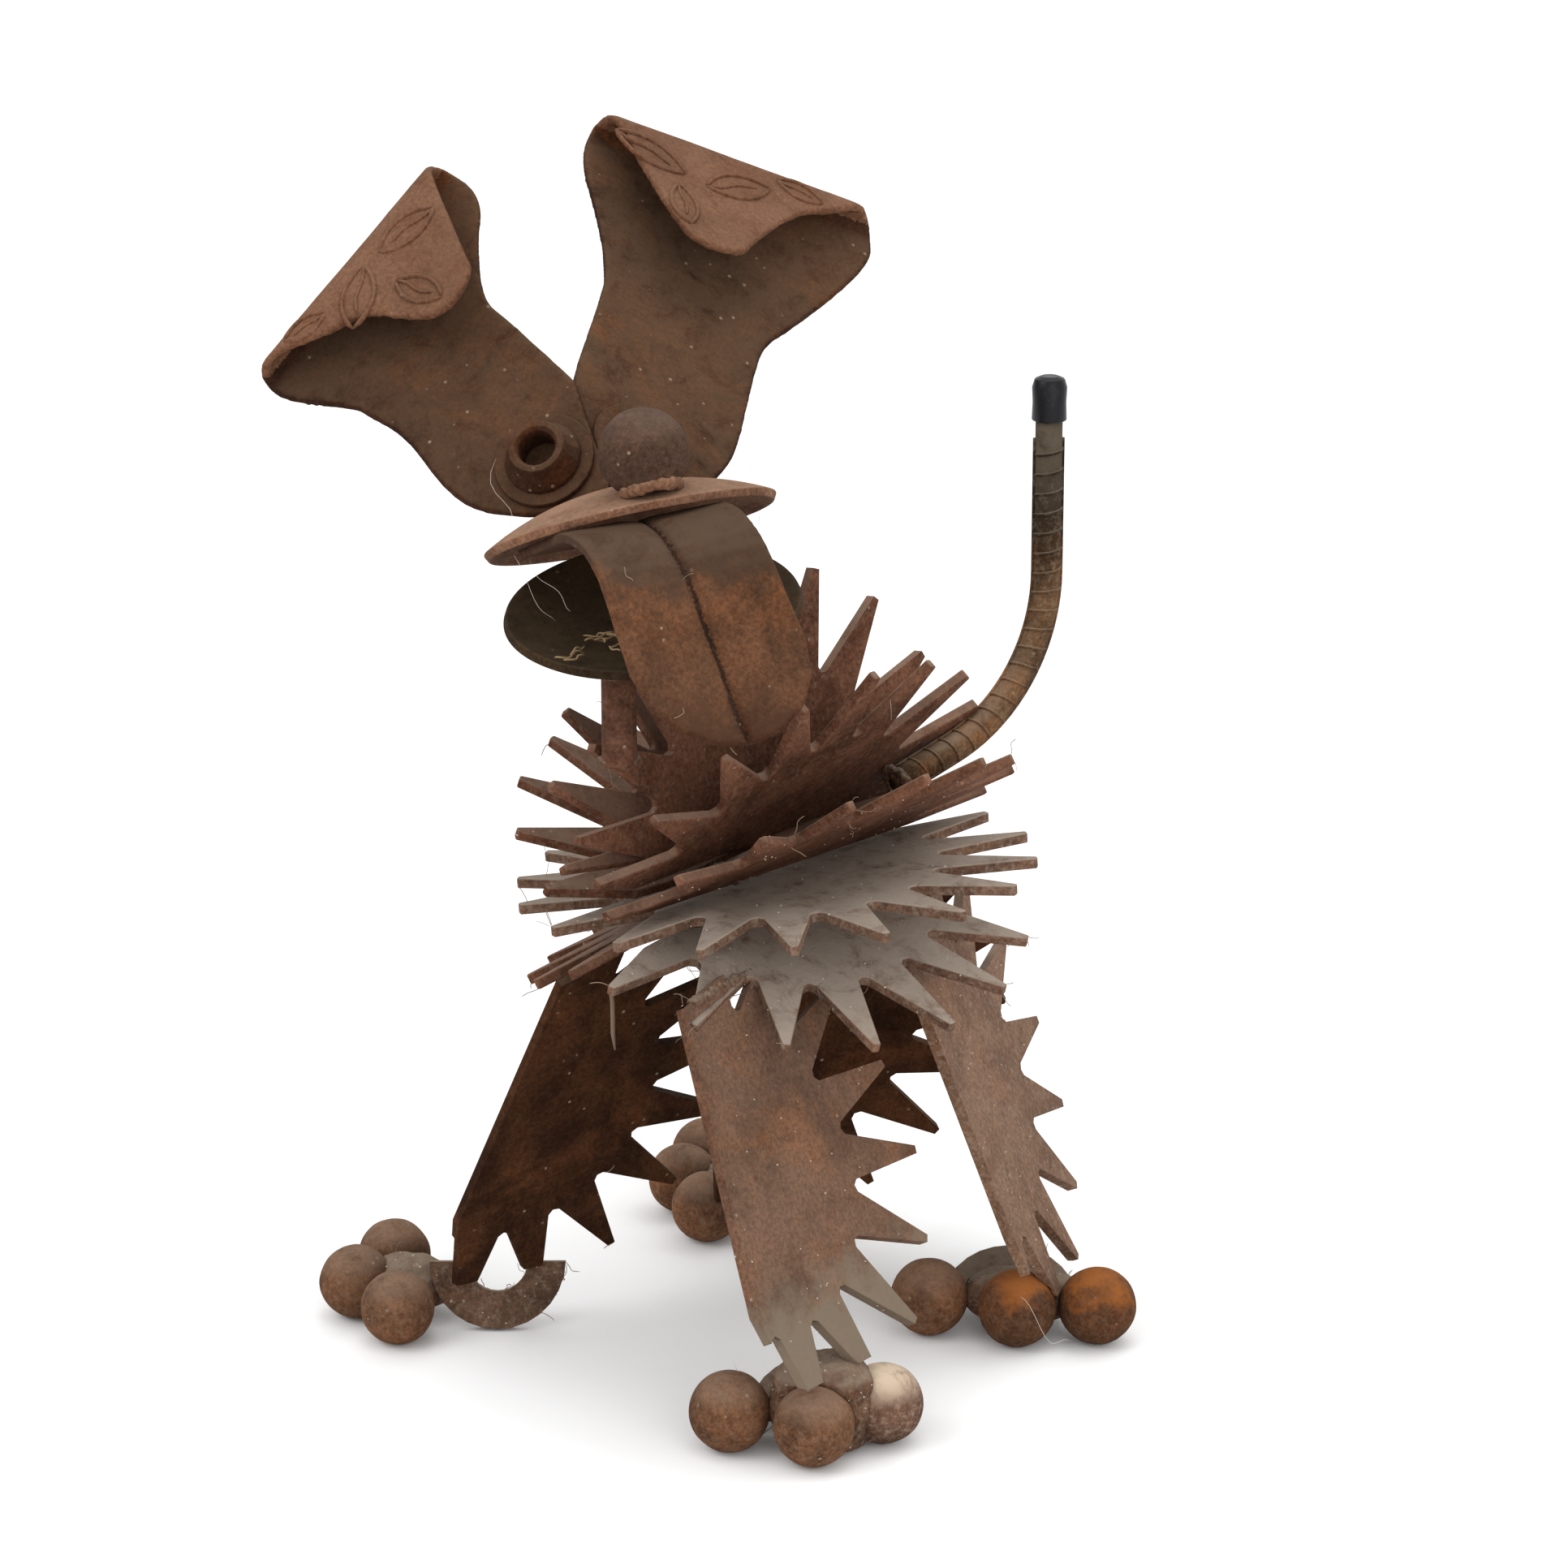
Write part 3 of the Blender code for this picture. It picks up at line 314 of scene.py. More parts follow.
class Finishes:
    """Makes each material once from its finish."""

    def __init__(self) -> None:
        """Build the shared groups."""
        self.mottle, self.dust = rust_mottle(), settled_dust()
        self.band, self.relief = height_band(), rust_relief()
        self.made: dict[str, Material] = {}

    @staticmethod
    def start(name: str) -> tuple[Material, Net, Node]:
        """A new material, its net and its shader."""
        mat = bpy.data.materials.new(name)
        mat.use_nodes = True
        return mat, Net(mat.node_tree), mat.node_tree.nodes["Principled BSDF"]

    def rust(self, finish: Rust) -> Material:
        """Material for a rust finish.

        Args:
            finish: the rust's tones and amounts.

        Returns:
            The material, made on first use.
        """
        if finish.name in self.made:
            return self.made[finish.name]
        mat, net, shader = self.start(finish.name)
        colour = net.place(self.mottle, {
            "Dark": rgba(finish.dark), "Mid": rgba(finish.mid), "Warm": rgba(finish.warm),
            "Warm Amount": finish.warm_amount, "Patch Scale": finish.patch_size,
            "Speck": finish.speck})
        for tone, start, end, amount in finish.bands:
            colour = net.place(self.band, {"Color": colour, "Tone": rgba(tone), "From": start,
                                           "To": end, "Amount": amount})
        dust = net.place(self.dust, {"Color": colour, "Dust": rgba(finish.dust),
                                     "Top": finish.dust_top, "All Over": finish.dust_all})
        net.feed(shader, {"Base Color": dust, "Roughness": finish.roughness,
                          "Normal": net.place(self.relief, {"Pit": finish.pit}),
                          "Specular IOR Level": 0.05})
        self.made[finish.name] = mat
        return mat

    def vinyl(self, finish: Vinyl) -> Material:
        """Material for the vinyl cap: black with dusty scuffs.

        Args:
            finish: the cap's tones.

        Returns:
            The material.
        """
        mat, net, shader = self.start(finish.name)
        mask = net.ramp(net.noise(net.coords(), 210.0, 7.0, 0.72, 0.3), 0.52, 0.78)
        net.feed(shader, {"Base Color": net.mix(mask, rgba(finish.tone), rgba(finish.scuff)),
                          "Roughness": finish.roughness, "Specular IOR Level": 0.2})
        return mat

    @classmethod
    def plain(cls, name: str, tone: Colour, roughness: float) -> Material:
        """Simple material for strands and the floor."""
        mat, net, shader = cls.start(name)
        net.feed(shader, {"Base Color": rgba(tone), "Roughness": roughness})
        return mat


FAN_DARK = Rust("fan_rust_dark", (0.055, 0.022, 0.012), (0.12, 0.052, 0.03),
                (0.2, 0.088, 0.05), 0.6, dust=(0.27, 0.19, 0.14), dust_top=0.55, dust_all=0.2)
FAN_DUSTY = Rust("fan_rust_dusty", (0.08, 0.044, 0.029), (0.15, 0.085, 0.056),
                 (0.2, 0.095, 0.055), 0.4, dust=(0.29, 0.24, 0.195), dust_top=0.97,
                 dust_all=0.35)
LEG_DARK = Rust("leg_rust_dark", (0.02, 0.007, 0.0025), (0.052, 0.02, 0.0075),
                (0.12, 0.045, 0.016), 0.5, dust=(0.12, 0.09, 0.065), dust_top=0.3, dust_all=0.08)
LEG_WARM = Rust("leg_rust_warm", (0.1, 0.052, 0.032), (0.165, 0.094, 0.06),
                (0.22, 0.1, 0.052), 0.5, dust=(0.34, 0.27, 0.215), dust_top=0.5, dust_all=0.32)
LEG_PALE = Rust("leg_rust_pale", (0.075, 0.037, 0.023), (0.135, 0.07, 0.044),
                (0.2, 0.08, 0.032), 0.65, dust=(0.22, 0.175, 0.13), dust_top=0.4, dust_all=0.12,
                bands=(((0.165, 0.13, 0.095), 0.085, 0.06, 0.8),))
EAR_RUST = Rust("ear_rust", (0.022, 0.0095, 0.0055), (0.045, 0.019, 0.0105),
                (0.115, 0.036, 0.009), 0.6, dust=(0.17, 0.105, 0.062), dust_top=0.35,
                dust_all=0.05, patch_size=11.0, speck=0.5)
FLAP_RUST = Rust("ear_flap_rust", (0.085, 0.036, 0.019), (0.135, 0.064, 0.036),
                 (0.14, 0.052, 0.024), 0.4, dust=(0.23, 0.14, 0.092), dust_top=0.3,
                 dust_all=0.22, patch_size=18.0, speck=0.2)
# Rust on the tongue. Its second band, darker at the top under the lip, is a painted shadow of the
# lip. Its first band makes it darker towards the bottom.
TONGUE_RUST_AND_LIP_SHADOW = Rust("tongue_rust_and_painted_lip_shadow", (0.055, 0.024, 0.012), (0.105, 0.046, 0.023),
                   (0.18, 0.06, 0.02), 0.6, dust=(0.2, 0.14, 0.095), dust_top=0.2,
                   dust_all=0.1, bands=(((0.032, 0.0115, 0.0055), 0.345, 0.31, 0.8),
                                        ((0.04, 0.0235, 0.015), 0.362, 0.382, 0.85)))
# Painted shade: dark rust tones laid on the faces along the tongue's crease, standing in for the
# shade in the groove.
CREASE_PAINTED_SHADE = Rust("crease_painted_shade", (0.018, 0.009, 0.006), (0.034, 0.017, 0.011),
                   (0.06, 0.024, 0.012), 0.2, dust_top=0.0, dust_all=0.05)
LIP_RUST = Rust("lip_rust", (0.1, 0.048, 0.028), (0.19, 0.1, 0.062), (0.17, 0.066, 0.03),
                0.45, dust=(0.31, 0.2, 0.135), dust_top=0.5, dust_all=0.12, patch_size=30.0)
# Rust on the jaw dish, its tones darkened with painted shade over the whole dish, inside and out.
JAW_RUST_AND_SHADE = Rust("jaw_rust_and_painted_shade", (0.012, 0.007, 0.0035), (0.032, 0.019, 0.009), (0.08, 0.036, 0.014),
                0.3, dust=(0.13, 0.095, 0.06), dust_top=0.25, dust_all=0.1)
BALL_RUST = Rust("ball_rust", (0.055, 0.026, 0.014), (0.13, 0.064, 0.034), (0.19, 0.08, 0.036),
                 0.55, dust=(0.3, 0.21, 0.15), dust_top=0.4, dust_all=0.2, patch_size=34.0)
NOSE_RUST = Rust("nose_rust", (0.038, 0.021, 0.014), (0.066, 0.036, 0.0235),
                 (0.09, 0.042, 0.026), 0.3, dust=(0.17, 0.12, 0.095), dust_top=0.3,
                 dust_all=0.12, patch_size=30.0)
BALL_ORANGE = Rust("ball_rust_orange", (0.05, 0.024, 0.013), (0.1, 0.047, 0.024),
                   (0.14, 0.052, 0.02), 0.6, dust=(0.24, 0.165, 0.115), dust_top=0.1,
                   dust_all=0.14, bands=(((0.26, 0.08, 0.014), 0.02, 0.037, 0.9),))
BALL_WHITE = Rust("ball_rust_white", (0.07, 0.037, 0.025), (0.135, 0.075, 0.052),
                  (0.19, 0.085, 0.05), 0.3, dust=(0.53, 0.42, 0.31), dust_top=0.98, dust_all=0.26)
WELD_RUST = Rust("weld_rust", (0.05, 0.026, 0.016), (0.125, 0.07, 0.045), (0.19, 0.084, 0.042),
                 0.4, dust=(0.28, 0.225, 0.17), dust_top=0.6, dust_all=0.32, pit=0.9)
NECK_RUST = Rust("neck_rust", (0.055, 0.024, 0.014), (0.11, 0.05, 0.031), (0.16, 0.064, 0.034),
                 0.4, dust_top=0.2, dust_all=0.08, patch_size=45.0)
BAR_RUST = Rust("bar_rust", (0.06, 0.032, 0.016), (0.125, 0.068, 0.034), (0.28, 0.105, 0.033),
                0.65, dust=(0.28, 0.23, 0.17), dust_top=0.4, dust_all=0.22, patch_size=45.0,
                bands=(((0.013, 0.0095, 0.006), 0.315, 0.36, 0.95),))
STRAW = (0.3, 0.2, 0.1)
COBWEB = (0.5, 0.44, 0.37)
FIBRE = (0.2, 0.14, 0.09)
TWIG = (0.12, 0.075, 0.045)


# mesh helpers ---------------------------------------------------------------
def link(name: str, data: ID) -> Object:
    """Put a mesh, lamp or camera in the scene."""
    obj = bpy.data.objects.new(name, data)
    bpy.context.scene.collection.objects.link(obj)
    return obj


def add_object(name: str, mesh: Mesh, material: Material) -> Object:
    """Link a mesh as an object with one material."""
    mesh.materials.clear()
    mesh.materials.append(material)
    return link(name, mesh)


def to_bmesh(mesh: Mesh) -> BMesh:
    """A bmesh of a mesh."""
    bm = bmesh.new()
    bm.from_mesh(mesh)
    return bm


def smooth(mesh: Mesh) -> Mesh:
    """Shade every face round."""
    for poly in mesh.polygons:
        poly.use_smooth = True
    return mesh


def from_bmesh(bm: BMesh, name: str, mesh: Mesh | None = None) -> Mesh:
    """Write a bmesh to a round-shaded mesh, new unless one is given."""
    mesh = mesh or bpy.data.meshes.new(name)
    bm.to_mesh(mesh)
    bm.free()
    return smooth(mesh)


def evaluate(obj: Object, material: Material) -> None:
    """Turn an object's modifiers into plain, round-shaded mesh in one material."""
    bpy.context.view_layer.update()
    graph = bpy.context.evaluated_depsgraph_get()
    mesh = bpy.data.meshes.new_from_object(obj.evaluated_get(graph))
    obj.modifiers.clear()
    obj.data = smooth(mesh)
    mesh.materials.clear()
    mesh.materials.append(material)


def bevel(obj: Object, width: float, segments: int, angle: float) -> None:
    """Round the edges that turn by more than an angle in degrees."""
    mod = obj.modifiers.new("worn_edge", "BEVEL")
    mod.width = width
    mod.segments = segments
    mod.limit_method = "ANGLE"
    mod.angle_limit = radians(angle)


def settle(piece: Object, node: str, slot: Slot) -> Object:
    """Put a dressed piece in its solid's place on the body."""
    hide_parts(node)
    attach(piece, "root")
    log.info("%s: %d faces", node, len(piece.data.polygons))
    return piece


def soften_edges(node: str, material: Material, slot: Slot, width: float = 0.7 * MM,
                 wear: float = 0.25 * MM) -> Object:
    """Copy a solid, round its cut edges and give its flats a slight unevenness.

    Args:
        node: the solid's name.
        material: the finish.
        slot: its material slot, not used.
        width: the rounding of each edge.
        wear: the height of the unevenness, all of it inward.

    Returns:
        The dressed piece, which replaces the solid.
    """
    mesh = frame["nodes"][node].data.copy()
    bm = to_bmesh(mesh)
    bmesh.ops.remove_doubles(bm, verts=bm.verts, dist=MERGE)
    bmesh.ops.dissolve_limit(bm, angle_limit=radians(1.0), verts=bm.verts, edges=bm.edges)
    mesh.name = node + "_dressed"
    obj = add_object(node + "_dressed", from_bmesh(bm, node, mesh), material)
    bevel(obj, width, 2, 38.0)
    evaluate(obj, material)
    bm = to_bmesh(obj.data)
    bm.normal_update()
    for vert in bm.verts:
        lift = noise.noise(vert.co * 55.0) * 0.5 + noise.noise(vert.co * 170.5) * 0.3
        vert.co -= vert.normal * wear * (0.5 + 0.5 * lift)
    for poly in from_bmesh(bm, node, obj.data).polygons:
        poly.use_smooth = poly.area < ROUND_FACE
    return settle(obj, node, slot)


def melt(node: str, material: Material, grain: float, rounds: int) -> tuple[Object, BMesh]:
    """Copy a solid as an even, smoothed mesh.

    Args:
        node: the solid's name.
        material: the finish.
        grain: size of the even mesh's faces.
        rounds: how often it is smoothed.

    Returns:
        The object, and its bmesh to work on.
    """
    obj = add_object(node + "_dressed", frame["nodes"][node].data.copy(), material)
    mod = obj.modifiers.new("flow", "REMESH")
    mod.mode = "VOXEL"
    mod.voxel_size = grain
    evaluate(obj, material)
    bm = to_bmesh(obj.data)
    for _ in range(rounds):
        bmesh.ops.smooth_vert(bm, verts=bm.verts, factor=0.5, use_axis_x=True, use_axis_y=True,
                              use_axis_z=True)
    bm.normal_update()
    return obj, bm


def smooth_sheet(node: str, material: Material, wave: float = 0.35 * MM,
                 grain: float = 1.25 * MM) -> Object:
    """Round off a faceted sheet.

    Args:
        node: the solid's name.
        material: the finish.
        wave: height of the sheet's unevenness.
        grain: size of the even mesh's faces.

    Returns:
        The dressed piece, which replaces the solid and stays within its box.
    """
    obj, bm = melt(node, material, grain, 5)
    low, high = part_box(node)
    for vert in bm.verts:
        lift = noise.noise(vert.co * 30.0) + 0.35 * noise.noise(vert.co * 140.0)
        vert.co += vert.normal * wave * lift
        vert.co = Vector(min(max(c, a), b) for c, a, b in zip(vert.co, low, high))
    from_bmesh(bm, node, obj.data)
    return settle(obj, node, Slot.SHEET)


def circle(centre: Vector, across: Vector, other: Vector, radius: float,
           count: int) -> list[Vector]:
    """Points round a circle, the last one back at the first."""
    return [centre + (across * cos(a) + other * sin(a)) * radius
            for a in (tau * k / count for k in range(count + 1))]


def straight(a: Vector, b: Vector, first: float = 0.0, last: float = 1.0) -> list[Vector]:
    """Nine points along part of a line."""
    return [a.lerp(b, first + (last - first) * k / 8.0) for k in range(9)]


def loft(bm: BMesh, rings: list[list[Vector]]) -> None:
    """Close a skin over rings of points and face it outwards."""
    made = [[bm.verts.new(point) for point in ring] for ring in rings]
    for a, b in zip(made, made[1:]):
        for k, corner in enumerate(a):
            n = (k + 1) % len(a)
            bm.faces.new((corner, a[n], b[n], b[k]))
    bm.faces.new(list(reversed(made[0])))
    bm.faces.new(made[-1])
    bmesh.ops.recalc_face_normals(bm, faces=bm.faces)


def tube(name: str, points: list[Vector], radius: float, sides: int, material: Material,
         taper: bool = False) -> Object:
    """Round strand or bead through points.

    Args:
        name: the object's name.
        points: the path.
        radius: its radius.
        sides: facets round it.
        material: the finish.
        taper: whether its ends close to a point.

    Returns:
        The object.
    """
    rings = []
    side = FIRST_SIDE
    last = len(points) - 1
    for i, here in enumerate(points):
        run = (points[min(i + 1, last)] - points[max(i - 1, 0)]).normalized()
        side = (side - run * side.dot(run)).normalized()
        size = radius * (0.35 if taper and i in (0, last) else 1.0)
        rings.append(circle(here, side, run.cross(side), size, sides)[:-1])
    bm = bmesh.new()
    loft(bm, rings)
    return add_object(name, from_bmesh(bm, name), material)


def join_pieces(name: str, objects: list[Object], slot: Slot) -> Object:
    """Join small pieces of one finish into one and let it ride on the body."""
    bm = bmesh.new()
    for obj in objects:
        bm.from_mesh(obj.data)
    material = objects[0].data.materials[0]
    for obj in objects:
        bpy.data.objects.remove(obj, do_unlink=True)
    piece = add_object(name, from_bmesh(bm, name), material)
    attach(piece, "root")
    log.info("%s: %d faces", name, len(piece.data.polygons))
    return piece


def worn_ball(node: str, centre: Vector, radius: float, facets: tuple[int, int], dent: float,
              material: Material, floor: float = -1.0,
              seat: tuple[Vector, float] | None = None) -> Object:
    """Ball with shallow dents.

    Args:
        node: the solid it replaces.
        centre: its centre.
        radius: its radius.
        facets: facets round it and from pole to pole.
        dent: depth of the dents.
        material: the finish.
        floor: lowest level, where it is worn flat.
        seat: direction of a ground seat and its depth from the centre, or None.

    Returns:
        The object.
    """
    bm = bmesh.new()
    bmesh.ops.create_uvsphere(bm, u_segments=facets[0], v_segments=facets[1], radius=radius)
    seed = Vector((centre.x * 31.0, centre.y * 17.0, 3.0))
    for vert in bm.verts:
        run = vert.co.normalized()
        depth = 0.5 + 0.5 * noise.noise(run * 1.9 + seed)
        depth += 0.25 * (0.5 + 0.5 * noise.noise(run * 6.0 + seed))
        reach = run * (radius - dent * max(0.0, depth))
        if seat is not None and reach.dot(seat[0]) > seat[1]:
            reach -= seat[0] * (reach.dot(seat[0]) - seat[1])
        vert.co = centre + reach
        vert.co.z = max(vert.co.z, floor)
    bmesh.ops.remove_doubles(bm, verts=bm.verts, dist=0.005 * MM)
    bmesh.ops.recalc_face_normals(bm, faces=bm.faces)
    ball = add_object(node + "_dressed", from_bmesh(bm, node + "_dressed"), material)
    return settle(ball, node, Slot.BALL)


# geometry node trees --------------------------------------------------------
class Trees:
    """Geometry node trees for what repeats: weld ripples and dust specks."""

    def __init__(self) -> None:
        """Build the trees."""
        self.ripples = self.drops("weld_ripples", "Spacing", 2, (0.65, 0.65, 0.55),
                                  (1.25, 1.25, 1.0))
        self.specks = self.drops("dust_specks", "Density", 1, (0.3, 0.3, 0.3), (1.5, 1.2, 1.0))

    @staticmethod
    def drops(name: str, measure: str, facets: int, least: Point,
              most: Point) -> tuple[NodeTree, dict[str, str]]:
        """Drops along an edge path, turned at random, or scattered over a surface.

        Args:
            name: the tree's name.
            measure: "Spacing" for a path or "Density" for a surface.
            facets: subdivisions of one drop.
            least: smallest scale of a drop.
            most: largest scale of a drop.

        Returns:
            The tree and its inputs' identifiers.
        """
        net = Net(bpy.data.node_groups.new(name, "GeometryNodeTree"))
        new = net.tree.interface.new_socket
        known = {}
        for label, kind in (("Geometry", "Geometry"), (measure, "Float"), ("Size", "Float"),
                            ("Seed", "Int"), ("Material", "Material")):
            sock = new(label, in_out="INPUT", socket_type="NodeSocket" + kind)
            known[label] = sock.identifier
        new("Geometry", in_out="OUTPUT", socket_type="NodeSocketGeometry")
        given = net.tree.nodes.new("NodeGroupInput").outputs
        seed = given["Seed"]
        drop = net.add("GeometryNodeMeshIcoSphere", {"Subdivisions": facets,
                                                     "Radius": given["Size"]})
        scale = net.add("FunctionNodeRandomValue", {0: least, 1: most, "Seed": seed},
                        data_type="FLOAT_VECTOR")
        feeds = {"Instance": drop.outputs["Mesh"], "Scale": scale.outputs[0]}
        if measure == "Spacing":
            curve = net.add("GeometryNodeMeshToCurve", {"Mesh": given["Geometry"]})
            spread = net.add("GeometryNodeResampleCurve", {
                "Curve": curve.outputs[0], "Length": given[measure]}, mode="LENGTH")
            turn = net.add("FunctionNodeRandomValue", {1: (tau,) * 3, "Seed": seed},
                           data_type="FLOAT_VECTOR")
            feeds["Rotation"] = turn.outputs[0]
        else:
            spread = net.add("GeometryNodeDistributePointsOnFaces", {
                "Mesh": given["Geometry"], "Density": given[measure], "Seed": seed})
        put = net.add("GeometryNodeInstanceOnPoints", {"Points": spread.outputs[0], **feeds})
        real = net.add("GeometryNodeRealizeInstances", {0: put.outputs[0]})
        paint = net.add("GeometryNodeSetMaterial", {"Geometry": real.outputs[0],
                                                    "Material": given["Material"]})
        net.add("NodeGroupOutput", {0: paint.outputs[0]})
        return net.tree, known

    @staticmethod
    def run(name: str, mesh: Mesh, grown: tuple[NodeTree, dict[str, str]], values: dict,
            material: Material) -> Object:
        """Run a tree on a mesh and keep the result as a plain mesh.

        Args:
            name: the new object's name.
            mesh: the path or surface the tree starts from.
            grown: the tree and its inputs' identifiers.
            values: input values by name.
            material: the finish.

        Returns:
            The object.
        """
        obj = link(name, mesh)
        mod = obj.modifiers.new("grow", "NODES")
        mod.node_group = grown[0]
        for label, value in (*values.items(), ("Material", material)):
            mod[grown[1][label]] = value
        evaluate(obj, material)
        return obj

    def bead(self, kind: Bead, points: list[Vector], spacing: float, size: float, seed: int,
             material: Material) -> Object:
        """A run of weld ripples.

        Args:
            kind: which kind of run it is.
            points: its path.
            spacing: from ripple to ripple, in millimetres.
            size: radius of a ripple, in millimetres.
            seed: seed of its unevenness.
            material: the finish.

        Returns:
            The object.
        """
        path = bpy.data.meshes.new("path")
        path.from_pydata(points, [(i, i + 1) for i in range(len(points) - 1)], [])
        return self.run(f"{kind.value}_{seed}", path, self.ripples,
                        {"Spacing": spacing * MM, "Size": size * MM, "Seed": seed}, material)


# sub-assemblies -------------------------------------------------------------
@dataclass
class Assembly:
    """What every sub-assembly works with."""

    finishes: Finishes
    trees: Trees

    def rust(self, finish: Rust) -> Material:
        """Material for a rust finish."""
        return self.finishes.rust(finish)


@dataclass
class BodyFan(Assembly):
    """The fan of star discs, with its weld runs."""

    dusty: tuple[str, ...] = ("fan_full_disc", "fan_left_lower_half")
    edge: float = 0.8 * MM
    roots: tuple[tuple[Point, Point], ...] = (
        ((6.5, -52.0, 219.0), (6.5, -20.0, 218.0)), ((6.0, 8.0, 218.0), (6.0, 40.0, 217.0)),
        ((-4.5, -60.0, 219.0), (-4.0, -28.0, 219.0)), ((-4.0, 4.0, 219.0), (-3.0, 34.0, 218.0)),
        ((9.0, -55.0, 206.0), (9.0, -18.0, 205.0)), ((-4.0, -50.0, 206.0), (-3.0, -15.0, 206.0)))

    def build(self) -> None:
        """Dress each page and lay short weld runs at their roots."""
        for node in sorted(frame["nodes"]):
            if node.startswith("fan_"):
                finish = FAN_DUSTY if node in self.dusty else FAN_DARK
                soften_edges(node, self.rust(finish), Slot.PLATE, self.edge)
        weld = self.rust(WELD_RUST)
        join_pieces("fan_root_welds", [
            self.trees.bead(Bead.FAN_ROOT, straight(drawn(a), drawn(b)), 2.6, 3.4, 10 + i, weld)
            for i, (a, b) in enumerate(self.roots)], Slot.WELD)


@dataclass
class Legs(Assembly):
    """The four leg plates and the weld runs under the body."""

    edge: float = 0.8 * MM
    tones: dict[str, Rust] = field(default_factory=lambda: {
        "leg_front_left": LEG_PALE, "leg_front_right": LEG_DARK,
        "leg_rear_left": LEG_WARM, "leg_rear_right": LEG_DARK})

    def build(self) -> None:
        """Dress each leg and weld its upper edge, where it meets the pages."""
        for node, finish in self.tones.items():
            soften_edges(node, self.rust(finish), Slot.PLATE, self.edge)
        runs = []
        for i, node in enumerate(self.tones):
            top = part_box(node)[1][2] - 7.0 * MM
            near = [v.co.copy() for v in frame["nodes"][node].data.vertices if v.co.z > top]
            a, b = max(((p, q) for p in near for q in near),
                       key=lambda pair: (pair[0] - pair[1]).length)
            runs.append(self.trees.bead(Bead.LEG_TOP, straight(a, b, 0.12, 0.88), 2.4, 3.3,
                                        40 + i, self.rust(WELD_RUST)))
        join_pieces("leg_top_welds", runs, Slot.WELD)


@dataclass
class Feet(Assembly):
    """Toe balls, half washer heels and the weld lumps between them."""

    facets: tuple[int, int] = (56, 36)
    dent: float = 0.55 * MM
    feet: tuple[str, ...] = ("front_left", "front_right", "rear_left", "rear_right")
    tones: dict[str, Rust] = field(default_factory=lambda: {
        "toe_rear_left_middle": BALL_ORANGE, "toe_rear_left_outer": BALL_ORANGE,
        "toe_front_left_outer": BALL_WHITE})

    def build(self) -> None:
        """Build every foot."""
        weld = self.rust(WELD_RUST)
        for foot in self.feet:
            for toe in ("inner", "middle", "outer"):
                self.ball(f"toe_{foot}_{toe}")
            soften_edges("heel_" + foot, weld, Slot.PLATE, 0.9 * MM, 0.3 * MM)
            self.lump("foot_weld_" + foot, weld)

    def ball(self, node: str) -> None:
        """A worn ball with a flat spot under it."""
        low, high = (Vector(c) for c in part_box(node))
        radius = (high.x - low.x) / 2.0
        centre = Vector(((low.x + high.x) / 2.0, (low.y + high.y) / 2.0, high.z - radius))
        finish = self.rust(self.tones.get(node, BALL_RUST))
        worn_ball(node, centre, radius, self.facets, self.dent, finish, low.z)

    @staticmethod
    def lump(node: str, weld: Material) -> None:
        """The weld lump, swollen a little over what it joins."""
        obj, bm = melt(node, weld, 1.0 * MM, 4)
        for vert in bm.verts:
            swell = 1.1 + 1.1 * noise.noise(vert.co * 110.0) + 0.5 * noise.noise(vert.co * 300.0)
            vert.co += vert.normal * swell * MM
            vert.co.z = max(vert.co.z, 1.0 * MM)
        from_bmesh(bm, node, obj.data)
        settle(obj, node, Slot.WELD)


@dataclass(frozen=True)
class Ear:
    """Where an ear stands on the head, its fold and the leaf ridges on its flap.

    A leaf is given by its middle across and past the fold, its turn, length and width.
    """

    tag: str
    side: int
    waist: Point
    out_dir: Point
    fold: tuple[float, float]
    leaves: tuple[tuple[float, float, float, float, float], ...]
    face: Point = (0.821, 0.357, 0.443)
    bend: float = 9.0
    turn: float = 170.0
    gauge: float = 4.0
    points: int = 15
    vein_points: int = 12
    ridge: float = 1.25
    vein: float = 1.0

    def skin(self, across: float, past: float) -> Point:
        """Point on the outer skin, across the ear and past the end of its bend.

        Args:
            across: distance from the ear's middle line.
            past: distance past the bend, less than nothing on the bend itself.

        Returns:
            The point as distances out, along and off the ear's face from its waist.
        """
        slope, bend = radians(self.fold[1]), radians(self.turn)
        ang = min(bend, bend + past / self.bend)
        spare = max(past, 0.0)
        high = self.fold[0] - self.bend + spare * cos(bend)
        high += sin(ang) * (self.bend + self.gauge / 2.0)
        rise = self.bend + spare * sin(bend)
        rise -= cos(ang) * (self.bend + self.gauge / 2.0)
        return (across * cos(slope) - high * sin(slope),
                across * sin(slope) + high * cos(slope), rise)

    def outlines(self) -> list[tuple[float, list[Point]]]:
        """Both edges and the vein of every leaf, as radii and paths on the skin."""
        paths = []
        for across, past, turn, length, width in self.leaves:
            c, s = cos(radians(turn)), sin(radians(turn))
            edges: list = [[], [], []]
            for i in range(self.points):
                u = i / (self.points - 1.0)
                x = (u - 0.5) * length
                swell = width / 2.0 * sin(pi * u) ** 0.8
                for edge, y in zip(edges, (swell, -swell, 0.06 * width * sin(9.0 * u))):
                    edge.append(self.skin(across + x * c - y * s, past + x * s + y * c))
            paths += [(self.ridge, edges[0]), (self.ridge, edges[1]),
                      (self.vein, edges[2][:self.vein_points])]
        return paths


EARS = (
    Ear("left", 1, (-105.0, 68.2, 99.5), (-0.070, 0.836, -0.544), (89.0, 6.0),
        ((-32, 16, 24, 38, 17), (12, 19, -26, 36, 16), (-16, 47, 80, 28, 13),
         (44, 5, 14, 24, 12))),
    Ear("right", -1, (-89.6, -55.4, 96.3), (-0.050, -0.821, -0.569), (58.0, -4.8),
        ((-40, 11, -14, 32, 15), (-2, 15, 36, 34, 16), (-19, 40, 98, 28, 13),
         (22, 2, -22, 22, 10))),
)


